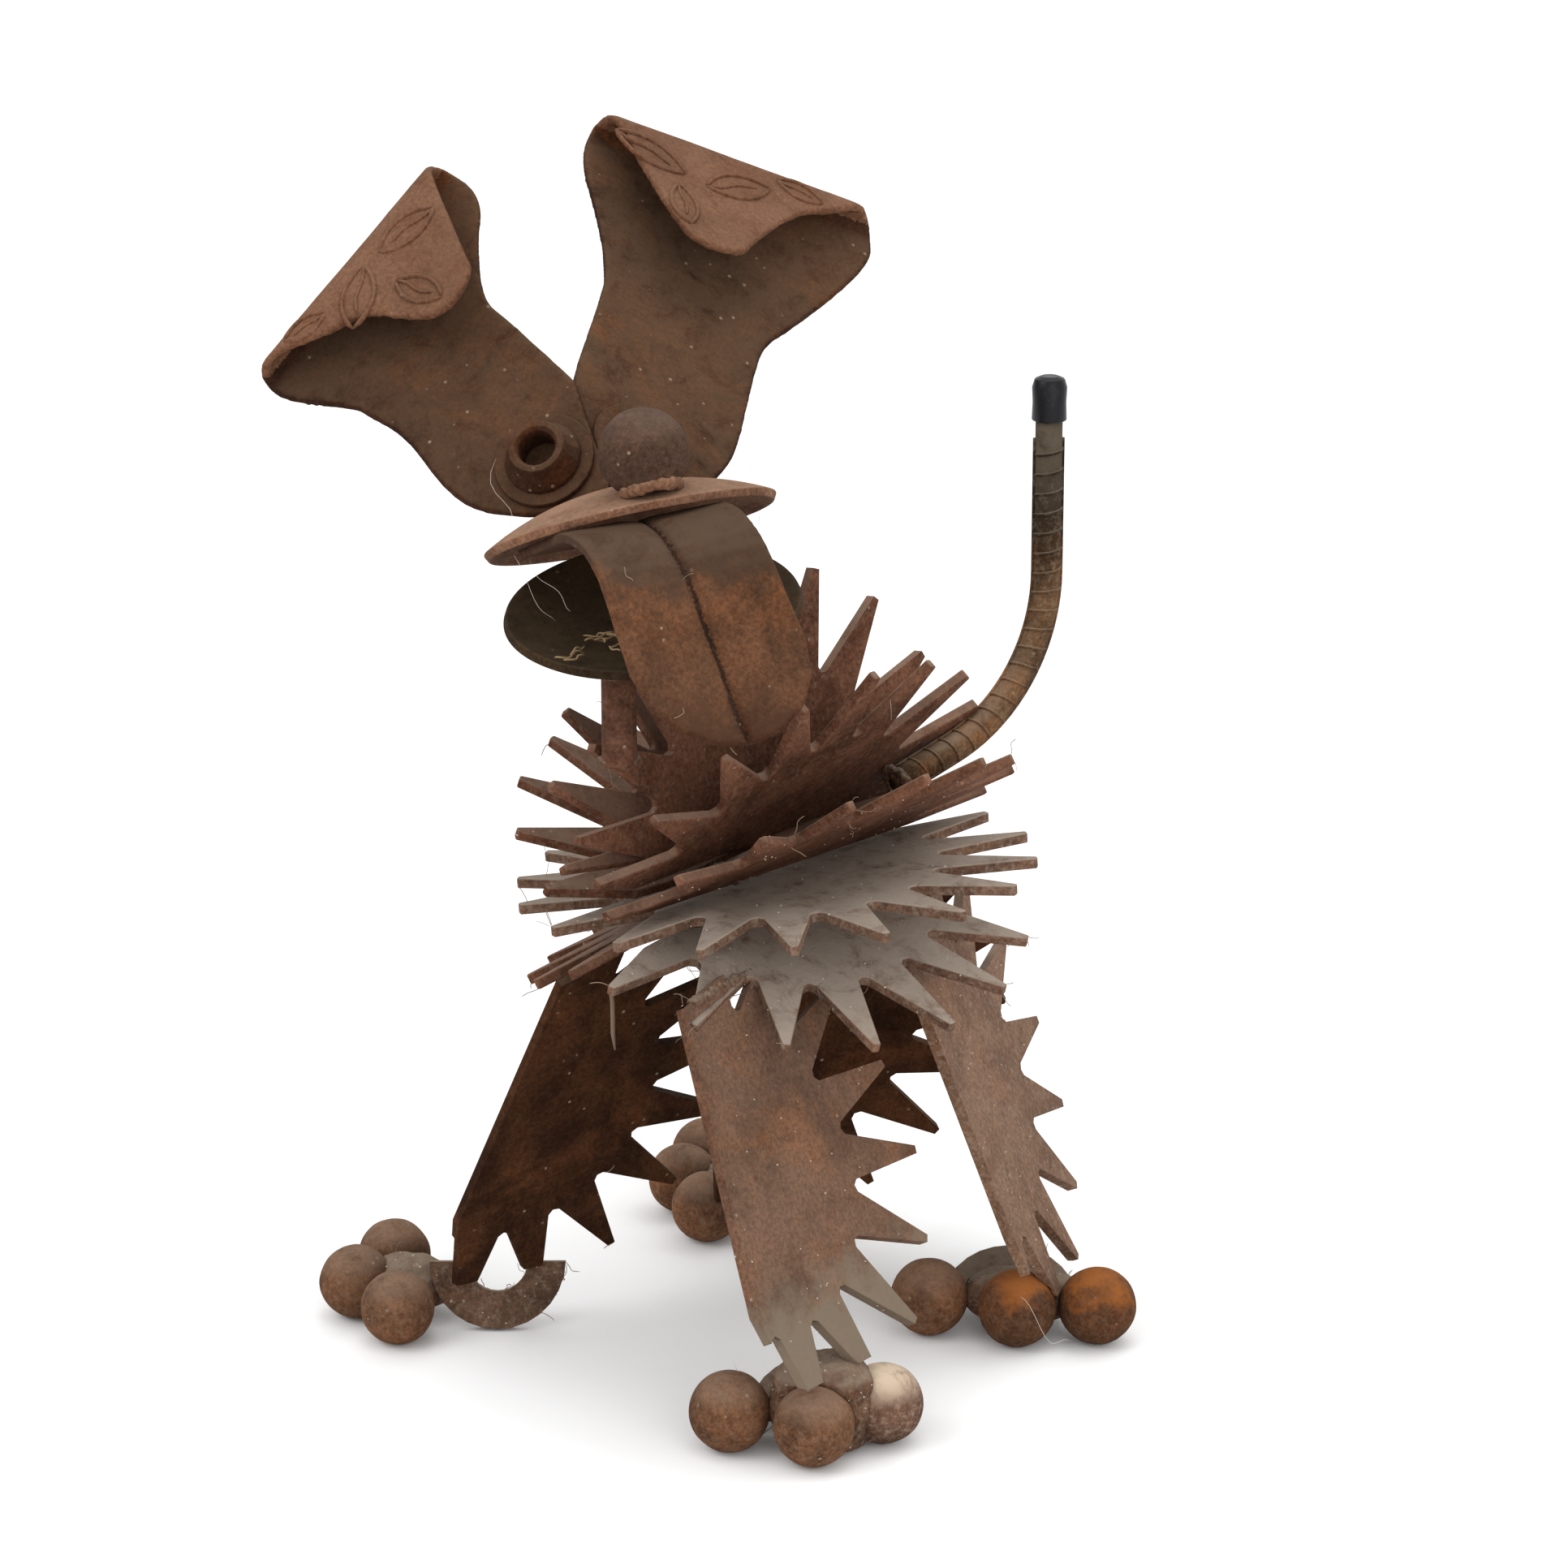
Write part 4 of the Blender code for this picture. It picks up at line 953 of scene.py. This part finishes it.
@dataclass
class Head(Assembly):
    """Dishes, tongue, nose, eyes, ears and neck."""

    lip_centre: Point = (-27.4, -69.0, 374.1)
    turn: float = 53.5
    pitch: float = 19.2
    lean: float = 7.6
    lip: tuple[float, float] = (64.5, 20.0)
    lip_back: float = 3.4
    jaw: tuple[float, float] = (65.0, 16.0)
    jaw_drop: float = 32.4
    jaw_side: float = 2.5
    jaw_open: float = 28.9
    gauge: float = 4.0
    dish_turns: int = 120
    dish_rings: int = 24
    dish_wave: float = 0.5 * MM
    nose: float = 19.5 * MM
    nose_seat: float = 15.1 * MM
    nose_bead_in: float = 1.2 * MM
    neck_bead: float = 7.8 * MM
    seams: tuple[float, ...] = (-34.0, -12.0, 10.0)
    tongue_root: tuple[float, float] = (8.0, -0.9)
    tongue_rise: float = 1.8
    tongue_length: float = 162.0
    tongue_steps: int = 60
    tongue_sag: float = 4.5
    tongue_bends: tuple[Point, ...] = ((38.0, 62.0, 1.27), (62.0, 92.0, 1.95),
                                       (110.0, 140.0, -0.25))
    dimple: int = 53

    def axes(self) -> tuple[Vector, Vector, Vector]:
        """Forward, dog's left and up of the head."""
        turn, pitch, lean = (radians(a) for a in (self.turn, self.pitch, self.lean))
        forward = Vector((sin(turn) * cos(pitch), -cos(turn) * cos(pitch),
                          sin(pitch)))
        level = Vector((cos(turn), sin(turn), 0.0))
        raised = forward.cross(level)
        raised = raised if raised.z > 0.0 else -raised
        side = level * cos(lean) + raised * sin(lean)
        return forward, side, raised * cos(lean) - level * sin(lean)

    def at(self, forward: float, side: float, up: float) -> Vector:
        """Point given in the head's own directions from the lip's centre, in millimetres."""
        axes = self.axes()
        spot = axes[0] * forward + axes[1] * side + axes[2] * up
        return drawn(Vector(self.lip_centre) + spot)

    def build(self) -> None:
        """Dress every piece of the head."""
        for ear in EARS:
            self.dress_ear(ear)
            for node in ("eye_washer_" + ear.tag, "eye_bushing_" + ear.tag):
                soften_edges(node, self.rust(EAR_RUST), Slot.SHEET, 0.5 * MM, 0.1 * MM)
        soften_edges("neck_rod", self.rust(NECK_RUST), Slot.BAR, 0.5 * MM, 0.1 * MM)
        forward, side, up = self.axes()
        back, gape = radians(self.lip_back), radians(self.jaw_open)
        lip_up = up * cos(back) - forward * sin(back)
        jaw_up = up * cos(gape) + forward * sin(gape)
        self.dish("upper_lip_dish", self.at(0, 0, 0), lip_up, self.lip, LIP_RUST)
        self.dish("lower_jaw_dish", self.at(0, self.jaw_side, -self.jaw_drop), -jaw_up, self.jaw,
                  JAW_RUST_AND_SHADE)
        self.dress_tongue()
        self.place_nose(lip_up, side)
        self.welds()

    def welds(self) -> None:
        """Beads that hold the ears to the lip, the lip to the jaw and the jaw to its neck."""
        rim = self.lip[0]
        seams = [[(1.0 - rim * cos(a), rim * sin(a), 1.5)
                  for a in (radians(start + 3.5 * k) for k in range(8))]
                 for start in self.seams]
        seams.append([(3.0 - rim, 2.4 * k - 9.0, -2.2) for k in range(9)])
        weld = self.rust(WELD_RUST)
        beads = [self.trees.bead(Bead.HEAD, [self.at(*spot) for spot in seam], 2.0, 2.7, 80 + i,
                                 weld) for i, seam in enumerate(seams)]
        low, high = (Vector(c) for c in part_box("neck_rod"))
        middle = (low + high) / 2.0
        for i, level in enumerate((low.z + 3.0 * MM, high.z - 2.0 * MM)):
            ring = circle(Vector((middle.x, middle.y, level)), Vector((1.0, 0.0, 0.0)),
                          Vector((0.0, 1.0, 0.0)), self.neck_bead, 16)
            beads.append(self.trees.bead(Bead.HEAD, ring, 2.0, 2.2, 90 + i, weld))
        join_pieces("head_welds", beads, Slot.WELD)

    def place_nose(self, lip_up: Vector, side: Vector) -> None:
        """The nose ball, ground to its seat on the lip, and the bead round it."""
        low, high = (Vector(c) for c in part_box("nose_ball"))
        centre = Vector((high.x - self.nose, low.y + self.nose, high.z - self.nose))
        worn_ball("nose_ball", centre, self.nose, (64, 44), 0.3 * MM,
                  self.rust(NOSE_RUST), seat=(-lip_up, self.nose_seat))
        size = sqrt(self.nose ** 2 - self.nose_seat ** 2) - self.nose_bead_in
        ring = circle(centre - lip_up * self.nose_seat, lip_up.cross(side), side, size, 30)
        join_pieces("nose_weld", [self.trees.bead(Bead.HEAD, ring, 1.3, 3.2, 61,
                                                  self.rust(LIP_RUST))], Slot.WELD)

    def dish(self, node: str, centre: Vector, crown: Vector, size: tuple[float, float],
             finish: Rust) -> None:
        """A shallow dish, rim at the centre given and domed towards the crown direction.

        Args:
            node: the solid it replaces.
            centre: middle of its rim.
            crown: direction of its dome.
            size: rim radius and height, in millimetres.
            finish: its rust.
        """
        radius, rise = size
        rim = self.gauge * 0.85
        for _ in range(4):
            outer = (radius ** 2 + (rise - rim) ** 2) / (2.0 * (rise - rim))
            span = asin(radius / outer)
            rim = self.gauge * cos(span)
        across = crown.cross(Vector((0.31, 0.87, 0.38))).normalized()
        other = crown.cross(across)
        rings = []
        count = self.dish_rings
        for shell, turns in ((outer, range(count + 1)), (outer - self.gauge,
                                                         range(count, -1, -1))):
            for i in turns:
                ang = span * i / count
                height = shell * cos(ang) + rise - outer
                rings.append(circle(centre + crown * height * MM, across, other,
                                    max(shell * sin(ang), 0.02) * MM,
                                    self.dish_turns)[:-1])
        bm = bmesh.new()
        loft(bm, rings)
        for vert in bm.verts:
            vert.co -= crown * (0.5 + 0.5 * noise.noise(vert.co * 32.0)) * self.dish_wave
        material = self.rust(finish)
        obj = add_object(node + "_dressed", from_bmesh(bm, node + "_dressed"), material)
        bevel(obj, 0.8 * MM, 3, 50.0)
        evaluate(obj, material)
        settle(obj, node, Slot.SHEET)

    def dress_ear(self, ear: Ear) -> None:
        """The folded ear, its flap in the paler rust, with ridges in leaf outlines."""
        face = Vector((ear.face[0], ear.face[1] * ear.side, ear.face[2])).normalized()
        out = Vector(ear.out_dir)
        out = (out - face * out.dot(face)).normalized()
        along = face.cross(out)
        along = along if along.z > 0.0 else -along
        waist = self.at(*ear.waist)
        forward, side, up = self.axes()
        out, along, face = (forward * v.x + side * v.y + up * v.z for v in (out, along, face))
        pale = self.rust(FLAP_RUST)
        piece = smooth_sheet("ear_" + ear.tag, self.rust(EAR_RUST))
        piece.data.materials.append(pale)
        for poly in piece.data.polygons:
            if (poly.center - waist).dot(face) > (ear.bend - 2.0) * MM:
                poly.material_index = 1
        ridges = []
        for size, path in ear.outlines():
            points = [waist + (out * x + along * y + face * z) * MM for x, y, z in path]
            ridges.append(tube("leaf", points, size * MM, 6, pale, True))
        join_pieces("leaf_ridges_" + ear.tag, ridges, Slot.SHEET)

    def tongue_line(self) -> list[tuple[Vector, Vector]]:
        """Points down the tongue's middle, each with the sheet's outward direction."""
        forward, _, up = self.axes()
        length, steps = self.tongue_length, self.tongue_steps
        here = Vector(self.tongue_root)
        angle = radians(self.tongue_rise)
        line = []
        for i in range(steps):
            s = (i + 0.5) * length / steps
            turn = sum(rate for start, end, rate in self.tongue_bends if start <= s < end)
            angle -= radians(turn) * length / steps
            run = Vector((cos(angle), sin(angle)))
            sag = self.tongue_sag * min(1.0, max(0.0, (s - 0.25 * length) / (0.3 * length)))
            shift = -15.0 + 27.0 * (s / length) ** 0.75
            mid = here + run * length / steps / 2.0 - Vector((-run.y, run.x)) * sag
            here = here + run * length / steps
            line.append((self.at(mid.x, shift, mid.y), forward * -run.y + up * run.x))
        return line

    def dress_tongue(self) -> None:
        """The tongue, its crease drawn as a groove with painted shade along it and a dimple near
        its end.
        """
        piece = smooth_sheet("tongue_plate", self.rust(TONGUE_RUST_AND_LIP_SHADOW), 0.3 * MM, 0.95 * MM)
        line = self.tongue_line()
        side = self.axes()[1]
        tree = kdtree.KDTree(len(line))
        for i, (spot, _) in enumerate(line):
            tree.insert(spot, i)
        tree.balance()
        # The second material is painted shade, given to the faces along the crease line.
        piece.data.materials.append(self.rust(CREASE_PAINTED_SHADE))
        dark = set()
        for vert in piece.data.vertices:
            _, i, _ = tree.find(vert.co)
            spot, outward = line[i]
            if (vert.co - spot).dot(outward) < 0.0:
                continue
            wander = 2.2 * MM * noise.noise(Vector((spot.z * 45.0, 0.0, 2.0)))
            aside = abs((vert.co - spot).dot(side) - wander)
            if aside < 1.35 * MM and i > 4:
                dark.add(vert.index)
            dimple = (vert.co - line[self.dimple][0]).length
            depth = sum(deep * exp(-(reach / (wide * MM)) ** 2) for deep, reach, wide in (
                (1.7, aside, 1.5), (0.9, aside, 5.0), (1.2, dimple, 5.5)))
            vert.co -= outward * depth * min(1.0, i / 8.0) * MM
        for poly in piece.data.polygons:
            if all(v in dark for v in poly.vertices):
                poly.material_index = 1


@dataclass
class Tail(Assembly):
    """Ribbed bar with its cap."""

    foot: Point = (32.4, 38.3, 247.6)
    heading: float = 75.8
    slope: float = 19.0
    straight: float = 34.0
    bend: float = 78.0
    top: float = 404.0
    core: float = 6.1 * MM
    rib_every: float = 9.1 * MM
    rib: float = 0.75 * MM

    def path(self, steps: int = 18) -> list[Vector]:
        """Centre line from the weld to under the cap.

        Args:
            steps: points round the bend.

        Returns:
            The points.
        """
        head, slope = radians(self.heading), radians(self.slope)
        flat = Vector((cos(head), sin(head), 0.0))
        start = drawn(self.foot)
        run = flat * cos(slope) + UP * sin(slope)
        points = [start, start + run * self.straight * MM]
        pivot = points[-1] + (-flat * sin(slope) + UP * cos(slope)) * self.bend * MM
        for i in range(1, steps + 1):
            ang = slope + (pi / 2.0 - slope) * i / steps
            points.append(pivot + (flat * sin(ang) - UP * cos(ang)) * self.bend * MM)
        return [*points, Vector((*points[-1].xy, self.top * MM))]

    def build(self) -> None:
        """Core, two long ribs, slanted ribs and the cap."""
        material = self.rust(BAR_RUST)
        points = self.path()
        settle(tube("tail_rod_dressed", points, self.core, 28, material), "tail_rod", Slot.BAR)
        self.ribs(points, material)
        run = (points[1] - points[0]).normalized()
        flat = run.cross(UP).normalized()
        ring = circle(points[0] + run * 1.5 * MM, flat, run.cross(flat), 6.6 * MM, 20)
        join_pieces("tail_weld", [self.trees.bead(Bead.TAIL, ring, 2.0, 2.6, 71,
                                                  self.rust(WELD_RUST))], Slot.WELD)
        soften_edges("tail_cap", self.finishes.vinyl(Vinyl()), Slot.VINYL, 0.8 * MM, 0.05 * MM)

    def ribs(self, points: list[Vector], material: Material) -> None:
        """Slanted half ribs at an even spacing and the two long ribs between them."""
        lengths = [0.0]
        for a, b in zip(points, points[1:]):
            lengths.append(lengths[-1] + (b - a).length)

        def at(s: float) -> tuple[Vector, Vector]:
            """Point and direction at a length along the bar."""
            last = len(points) - 2
            i = next((n for n in range(last) if s <= lengths[n + 1]), last)
            part = (s - lengths[i]) / (lengths[i + 1] - lengths[i])
            return points[i].lerp(points[i + 1], part), (points[i + 1] - points[i]).normalized()

        made = []
        side = FIRST_SIDE
        lines: list = [[], []]
        for k in range(int((lengths[-1] - 6.0 * MM) / self.rib_every) * 3):
            here, run = at(4.0 * MM + k * self.rib_every / 3.0)
            side = (side - run * side.dot(run)).normalized()
            other = run.cross(side)
            for line, sign in zip(lines, (1.0, -1.0)):
                line.append(here + side * sign * (self.core + 0.25 * MM))
                if k % 3:
                    continue
                arc = [here + run * (j / 10.0 - 0.5) * 3.4 * MM * sign
                       + (side * cos(a) + other * sin(a)) * (self.core + 0.2 * MM)
                       for j, a in ((j, pi * j / 10.0 * sign) for j in range(11))]
                made.append(tube("rib", arc, self.rib, 6, material, True))
        made += [tube("long_rib", line, self.rib * 1.1, 6, material) for line in lines]
        join_pieces("tail_ribs", made, Slot.BAR)


@dataclass
class Clutter(Assembly):
    """Dust specks, straw caught in the jaw, cobweb strands and a dry twig."""

    head: Head
    seed: int = 7
    density: float = 2600.0
    dusty: tuple[str, ...] = ("fan_full_disc", "fan_left_lower_half", "fan_left_raised_half",
                              "fan_right_raised_half", "leg_front_left", "leg_rear_left",
                              "foot_weld_front_left", "foot_weld_front_right",
                              "foot_weld_rear_left", "heel_front_left", "heel_front_right")
    snags: dict[str, int] = field(default_factory=lambda: {
        "foot_weld_front_left": 26, "foot_weld_front_right": 26, "foot_weld_rear_left": 26,
        "foot_weld_rear_right": 14, "heel_front_left": 10, "heel_front_right": 14,
        "heel_rear_left": 10, "fan_full_disc": 16, "fan_left_lower_half": 22,
        "fan_left_raised_half": 16, "fan_right_raised_half": 12, "fan_right_lower_half": 12,
        "leg_front_left": 14, "leg_front_right": 12, "leg_rear_left": 10, "tongue_plate": 8})
    head_webs: tuple[tuple[Point, Point], ...] = (
        ((-22, 62, 36), (2, 60, 4)), ((-30, -46, 44), (-6, -58, 2)),
        ((30, -58, -2), (18, -44, -32)), ((-14, 60, 0), (-4, 52, -34)),
        ((20, -50, -4), (34, -40, -30)))
    body_webs: tuple[tuple[Point, Point], ...] = (
        ((60, 0, 300), (30, 40, 270)), ((40, 60, 262), (34, 96, 232)),
        ((-70, -20, 256), (-100, -10, 226)), ((82, -132, 40), (96, -120, 12)),
        ((128, 10, 36), (140, 30, 12)))
    twig_path: tuple[Point, ...] = ((-9, -106, 183), (-4, -112, 184), (0, -115, 179),
                                    (1, -116, 172), (1, -116, 165), (3, -117, 158))

    def build(self) -> None:
        """Scatter the specks and string the strands."""
        self.specks()
        self.straws()
        self.cobwebs()
        self.fibres()
        twig = tube("twig", [drawn(p) for p in self.twig_path], 1.0 * MM, 7,
                    self.finishes.plain("twig", TWIG, 0.8), True)
        join_pieces("dry_twig", [twig], Slot.PLATE)

    def specks(self) -> None:
        """Clots of dust on the pages, legs and feet."""
        paint = self.finishes.plain("dust_clot", (0.42, 0.36, 0.29), 0.95)
        clots = []
        for i, node in enumerate(self.dusty):
            dense = self.density * (4.0 if "weld" in node or "heel" in node else 1.0)
            source = bpy.data.objects[node + "_dressed"].data.copy()
            clots.append(self.trees.run("clot", source, self.trees.specks, {
                "Density": dense, "Size": 0.55 * MM, "Seed": self.seed + i}, paint))
        join_pieces("dust_clots", clots, Slot.PLATE)

    @staticmethod
    def strand(a: Vector, b: Vector, sag: float, size: float, rng: random.Random,
               paint: Material) -> Object:
        """A thin strand that hangs slack and wavers between two points.

        Args:
            a: its start.
            b: its end.
            sag: how far it hangs in the middle.
            size: its radius.
            rng: draws its sway.
            paint: the finish.

        Returns:
            The object, which stays above the floor.
        """
        sway = Vector([rng.uniform(-1.0, 1.0) for _ in range(3)]) * (b - a).length * 0.12
        points = []
        for k in range(11):
            t = k / 10.0
            bow = 4.0 * t * (1.0 - t)
            here = a.lerp(b, t) + sway * bow * cos(5.0 * t) - UP * sag * bow
            here.z = max(here.z, size + 0.3 * MM)
            points.append(here)
        return tube("strand", points, size, 5, paint, True)

    def straws(self) -> None:
        """Bits of straw lying in the jaw."""
        rng = random.Random(self.seed)
        paint = self.finishes.plain("straw", STRAW, 0.7)
        made = []
        for _ in range(14):
            ahead, aside = rng.uniform(12, 40), rng.uniform(-38, -16)
            a = self.head.at(ahead, aside, -36.0 - 0.42 * ahead)
            b = a + Vector([rng.uniform(-17, 17) * MM for _ in range(2)] + [0.0])
            made.append(self.strand(a, b, 0.0, 0.45 * MM, rng, paint))
        join_pieces("jaw_straws", made, Slot.SHEET)

    def fibres(self) -> None:
        """Plant fibres and lint snagged on the feet and on the pages' teeth."""
        rng = random.Random(self.seed + 9)
        paint = self.finishes.plain("fibre", FIBRE, 0.9)
        low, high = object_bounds()
        made = []
        for node, count in self.snags.items():
            verts = bpy.data.objects[node + "_dressed"].data.vertices
            for _ in range(count):
                vert = verts[rng.randrange(len(verts))]
                reach = vert.normal * rng.uniform(2.0, 7.0)
                reach += Vector([rng.uniform(-5.0, 5.0) for _ in range(3)])
                end = vert.co + reach * MM
                end = Vector(min(max(c, a + 0.002), b - 0.002) for c, a, b in zip(end, low, high))
                made.append(self.strand(vert.co, end, rng.uniform(-2.0, 2.0) * MM,
                                        rng.uniform(0.1, 0.22) * MM, rng, paint))
        join_pieces("snagged_fibres", made, Slot.PLATE)

    def cobwebs(self) -> None:
        """Fine threads between the ears and the mouth, and over the pages' tips."""
        rng = random.Random(self.seed + 5)
        paint = self.finishes.plain("cobweb", COBWEB, 0.9)
        made = [self.strand(self.head.at(*a), self.head.at(*b), 3.0 * MM, 0.08 * MM, rng, paint)
                for a, b in self.head_webs]
        made += [self.strand(drawn(a), drawn(b), 4.0 * MM, 0.1 * MM, rng, paint)
                 for a, b in self.body_webs]
        join_pieces("cobwebs", made, Slot.PLATE)


@dataclass
class Studio:
    """Floor, lights and camera."""

    azimuth: float = 40.0
    elevation: float = 17.0
    distance: float = 2.2
    lens: float = 113.9
    world: float = 1.22
    lamps: tuple[tuple[str, Point, float, float], ...] = (
        ("key", (-0.6, -1.9, 1.9), 1.4, 16.0), ("fill", (1.9, -0.9, 0.8), 1.5, 11.0),
        ("top", (0.2, 0.3, 2.3), 1.6, 12.0))

    def build(self) -> None:
        """Set the pale floor, the soft lights and the camera."""
        mesh = bpy.data.meshes.new("floor")
        mesh.from_pydata([(-6, -6, 0), (6, -6, 0), (6, 6, 0), (-6, 6, 0)], [], [(0, 1, 2, 3)])
        floor = add_object("floor", mesh, Finishes.plain("pale_floor", (0.86, 0.86, 0.86), 0.9))
        floor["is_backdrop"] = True
        world = bpy.data.worlds.new("studio")
        world.use_nodes = True
        Net(world.node_tree).feed(world.node_tree.nodes["Background"],
                                  {0: (1.0, 1.0, 1.0, 1.0), 1: self.world})
        bpy.context.scene.world = world
        for name, spot, size, power in self.lamps:
            lamp = bpy.data.lights.new(name, "AREA")
            lamp.size = size
            lamp.energy = power
            obj = link(name, lamp)
            obj.location = spot
            aim = Vector((0.0, 0.0, 0.26)) - obj.location
            obj.rotation_mode = "QUATERNION"
            obj.rotation_quaternion = aim.to_track_quat("-Z", "Y")
        bpy.context.scene.view_settings.view_transform = "Standard"
        self.camera()

    def camera(self) -> None:
        """Camera a little above and to the dog's left of its front."""
        data = bpy.data.cameras.new("view")
        data.lens = self.lens
        data.sensor_width = 36.0
        data.clip_end = 50.0
        cam = link("view", data)
        az, el = radians(self.azimuth), radians(self.elevation)
        back = Vector((sin(az) * cos(el), -cos(az) * cos(el), sin(el)))
        right = Vector((cos(az), sin(az), 0.0))
        target = drawn((0.0, 0.0, 250.0))
        turn = Matrix((right, back.cross(right), back)).transposed().to_4x4()
        cam.matrix_world = Matrix.Translation(target + back * self.distance) @ turn
        bpy.context.scene.camera = cam


def main() -> None:
    """Build the sub-assemblies in order and note the sizes."""
    logging.basicConfig(level=logging.INFO, format="%(name)s: %(message)s")
    kit = (Finishes(), Trees())
    head = Head(*kit)
    for part in (BodyFan(*kit), Legs(*kit), Feet(*kit), head, Tail(*kit), Clutter(*kit, head),
                 Studio()):
        part.build()
        log.info("%s built", type(part).__name__)


if __name__ == "__main__":
    main()
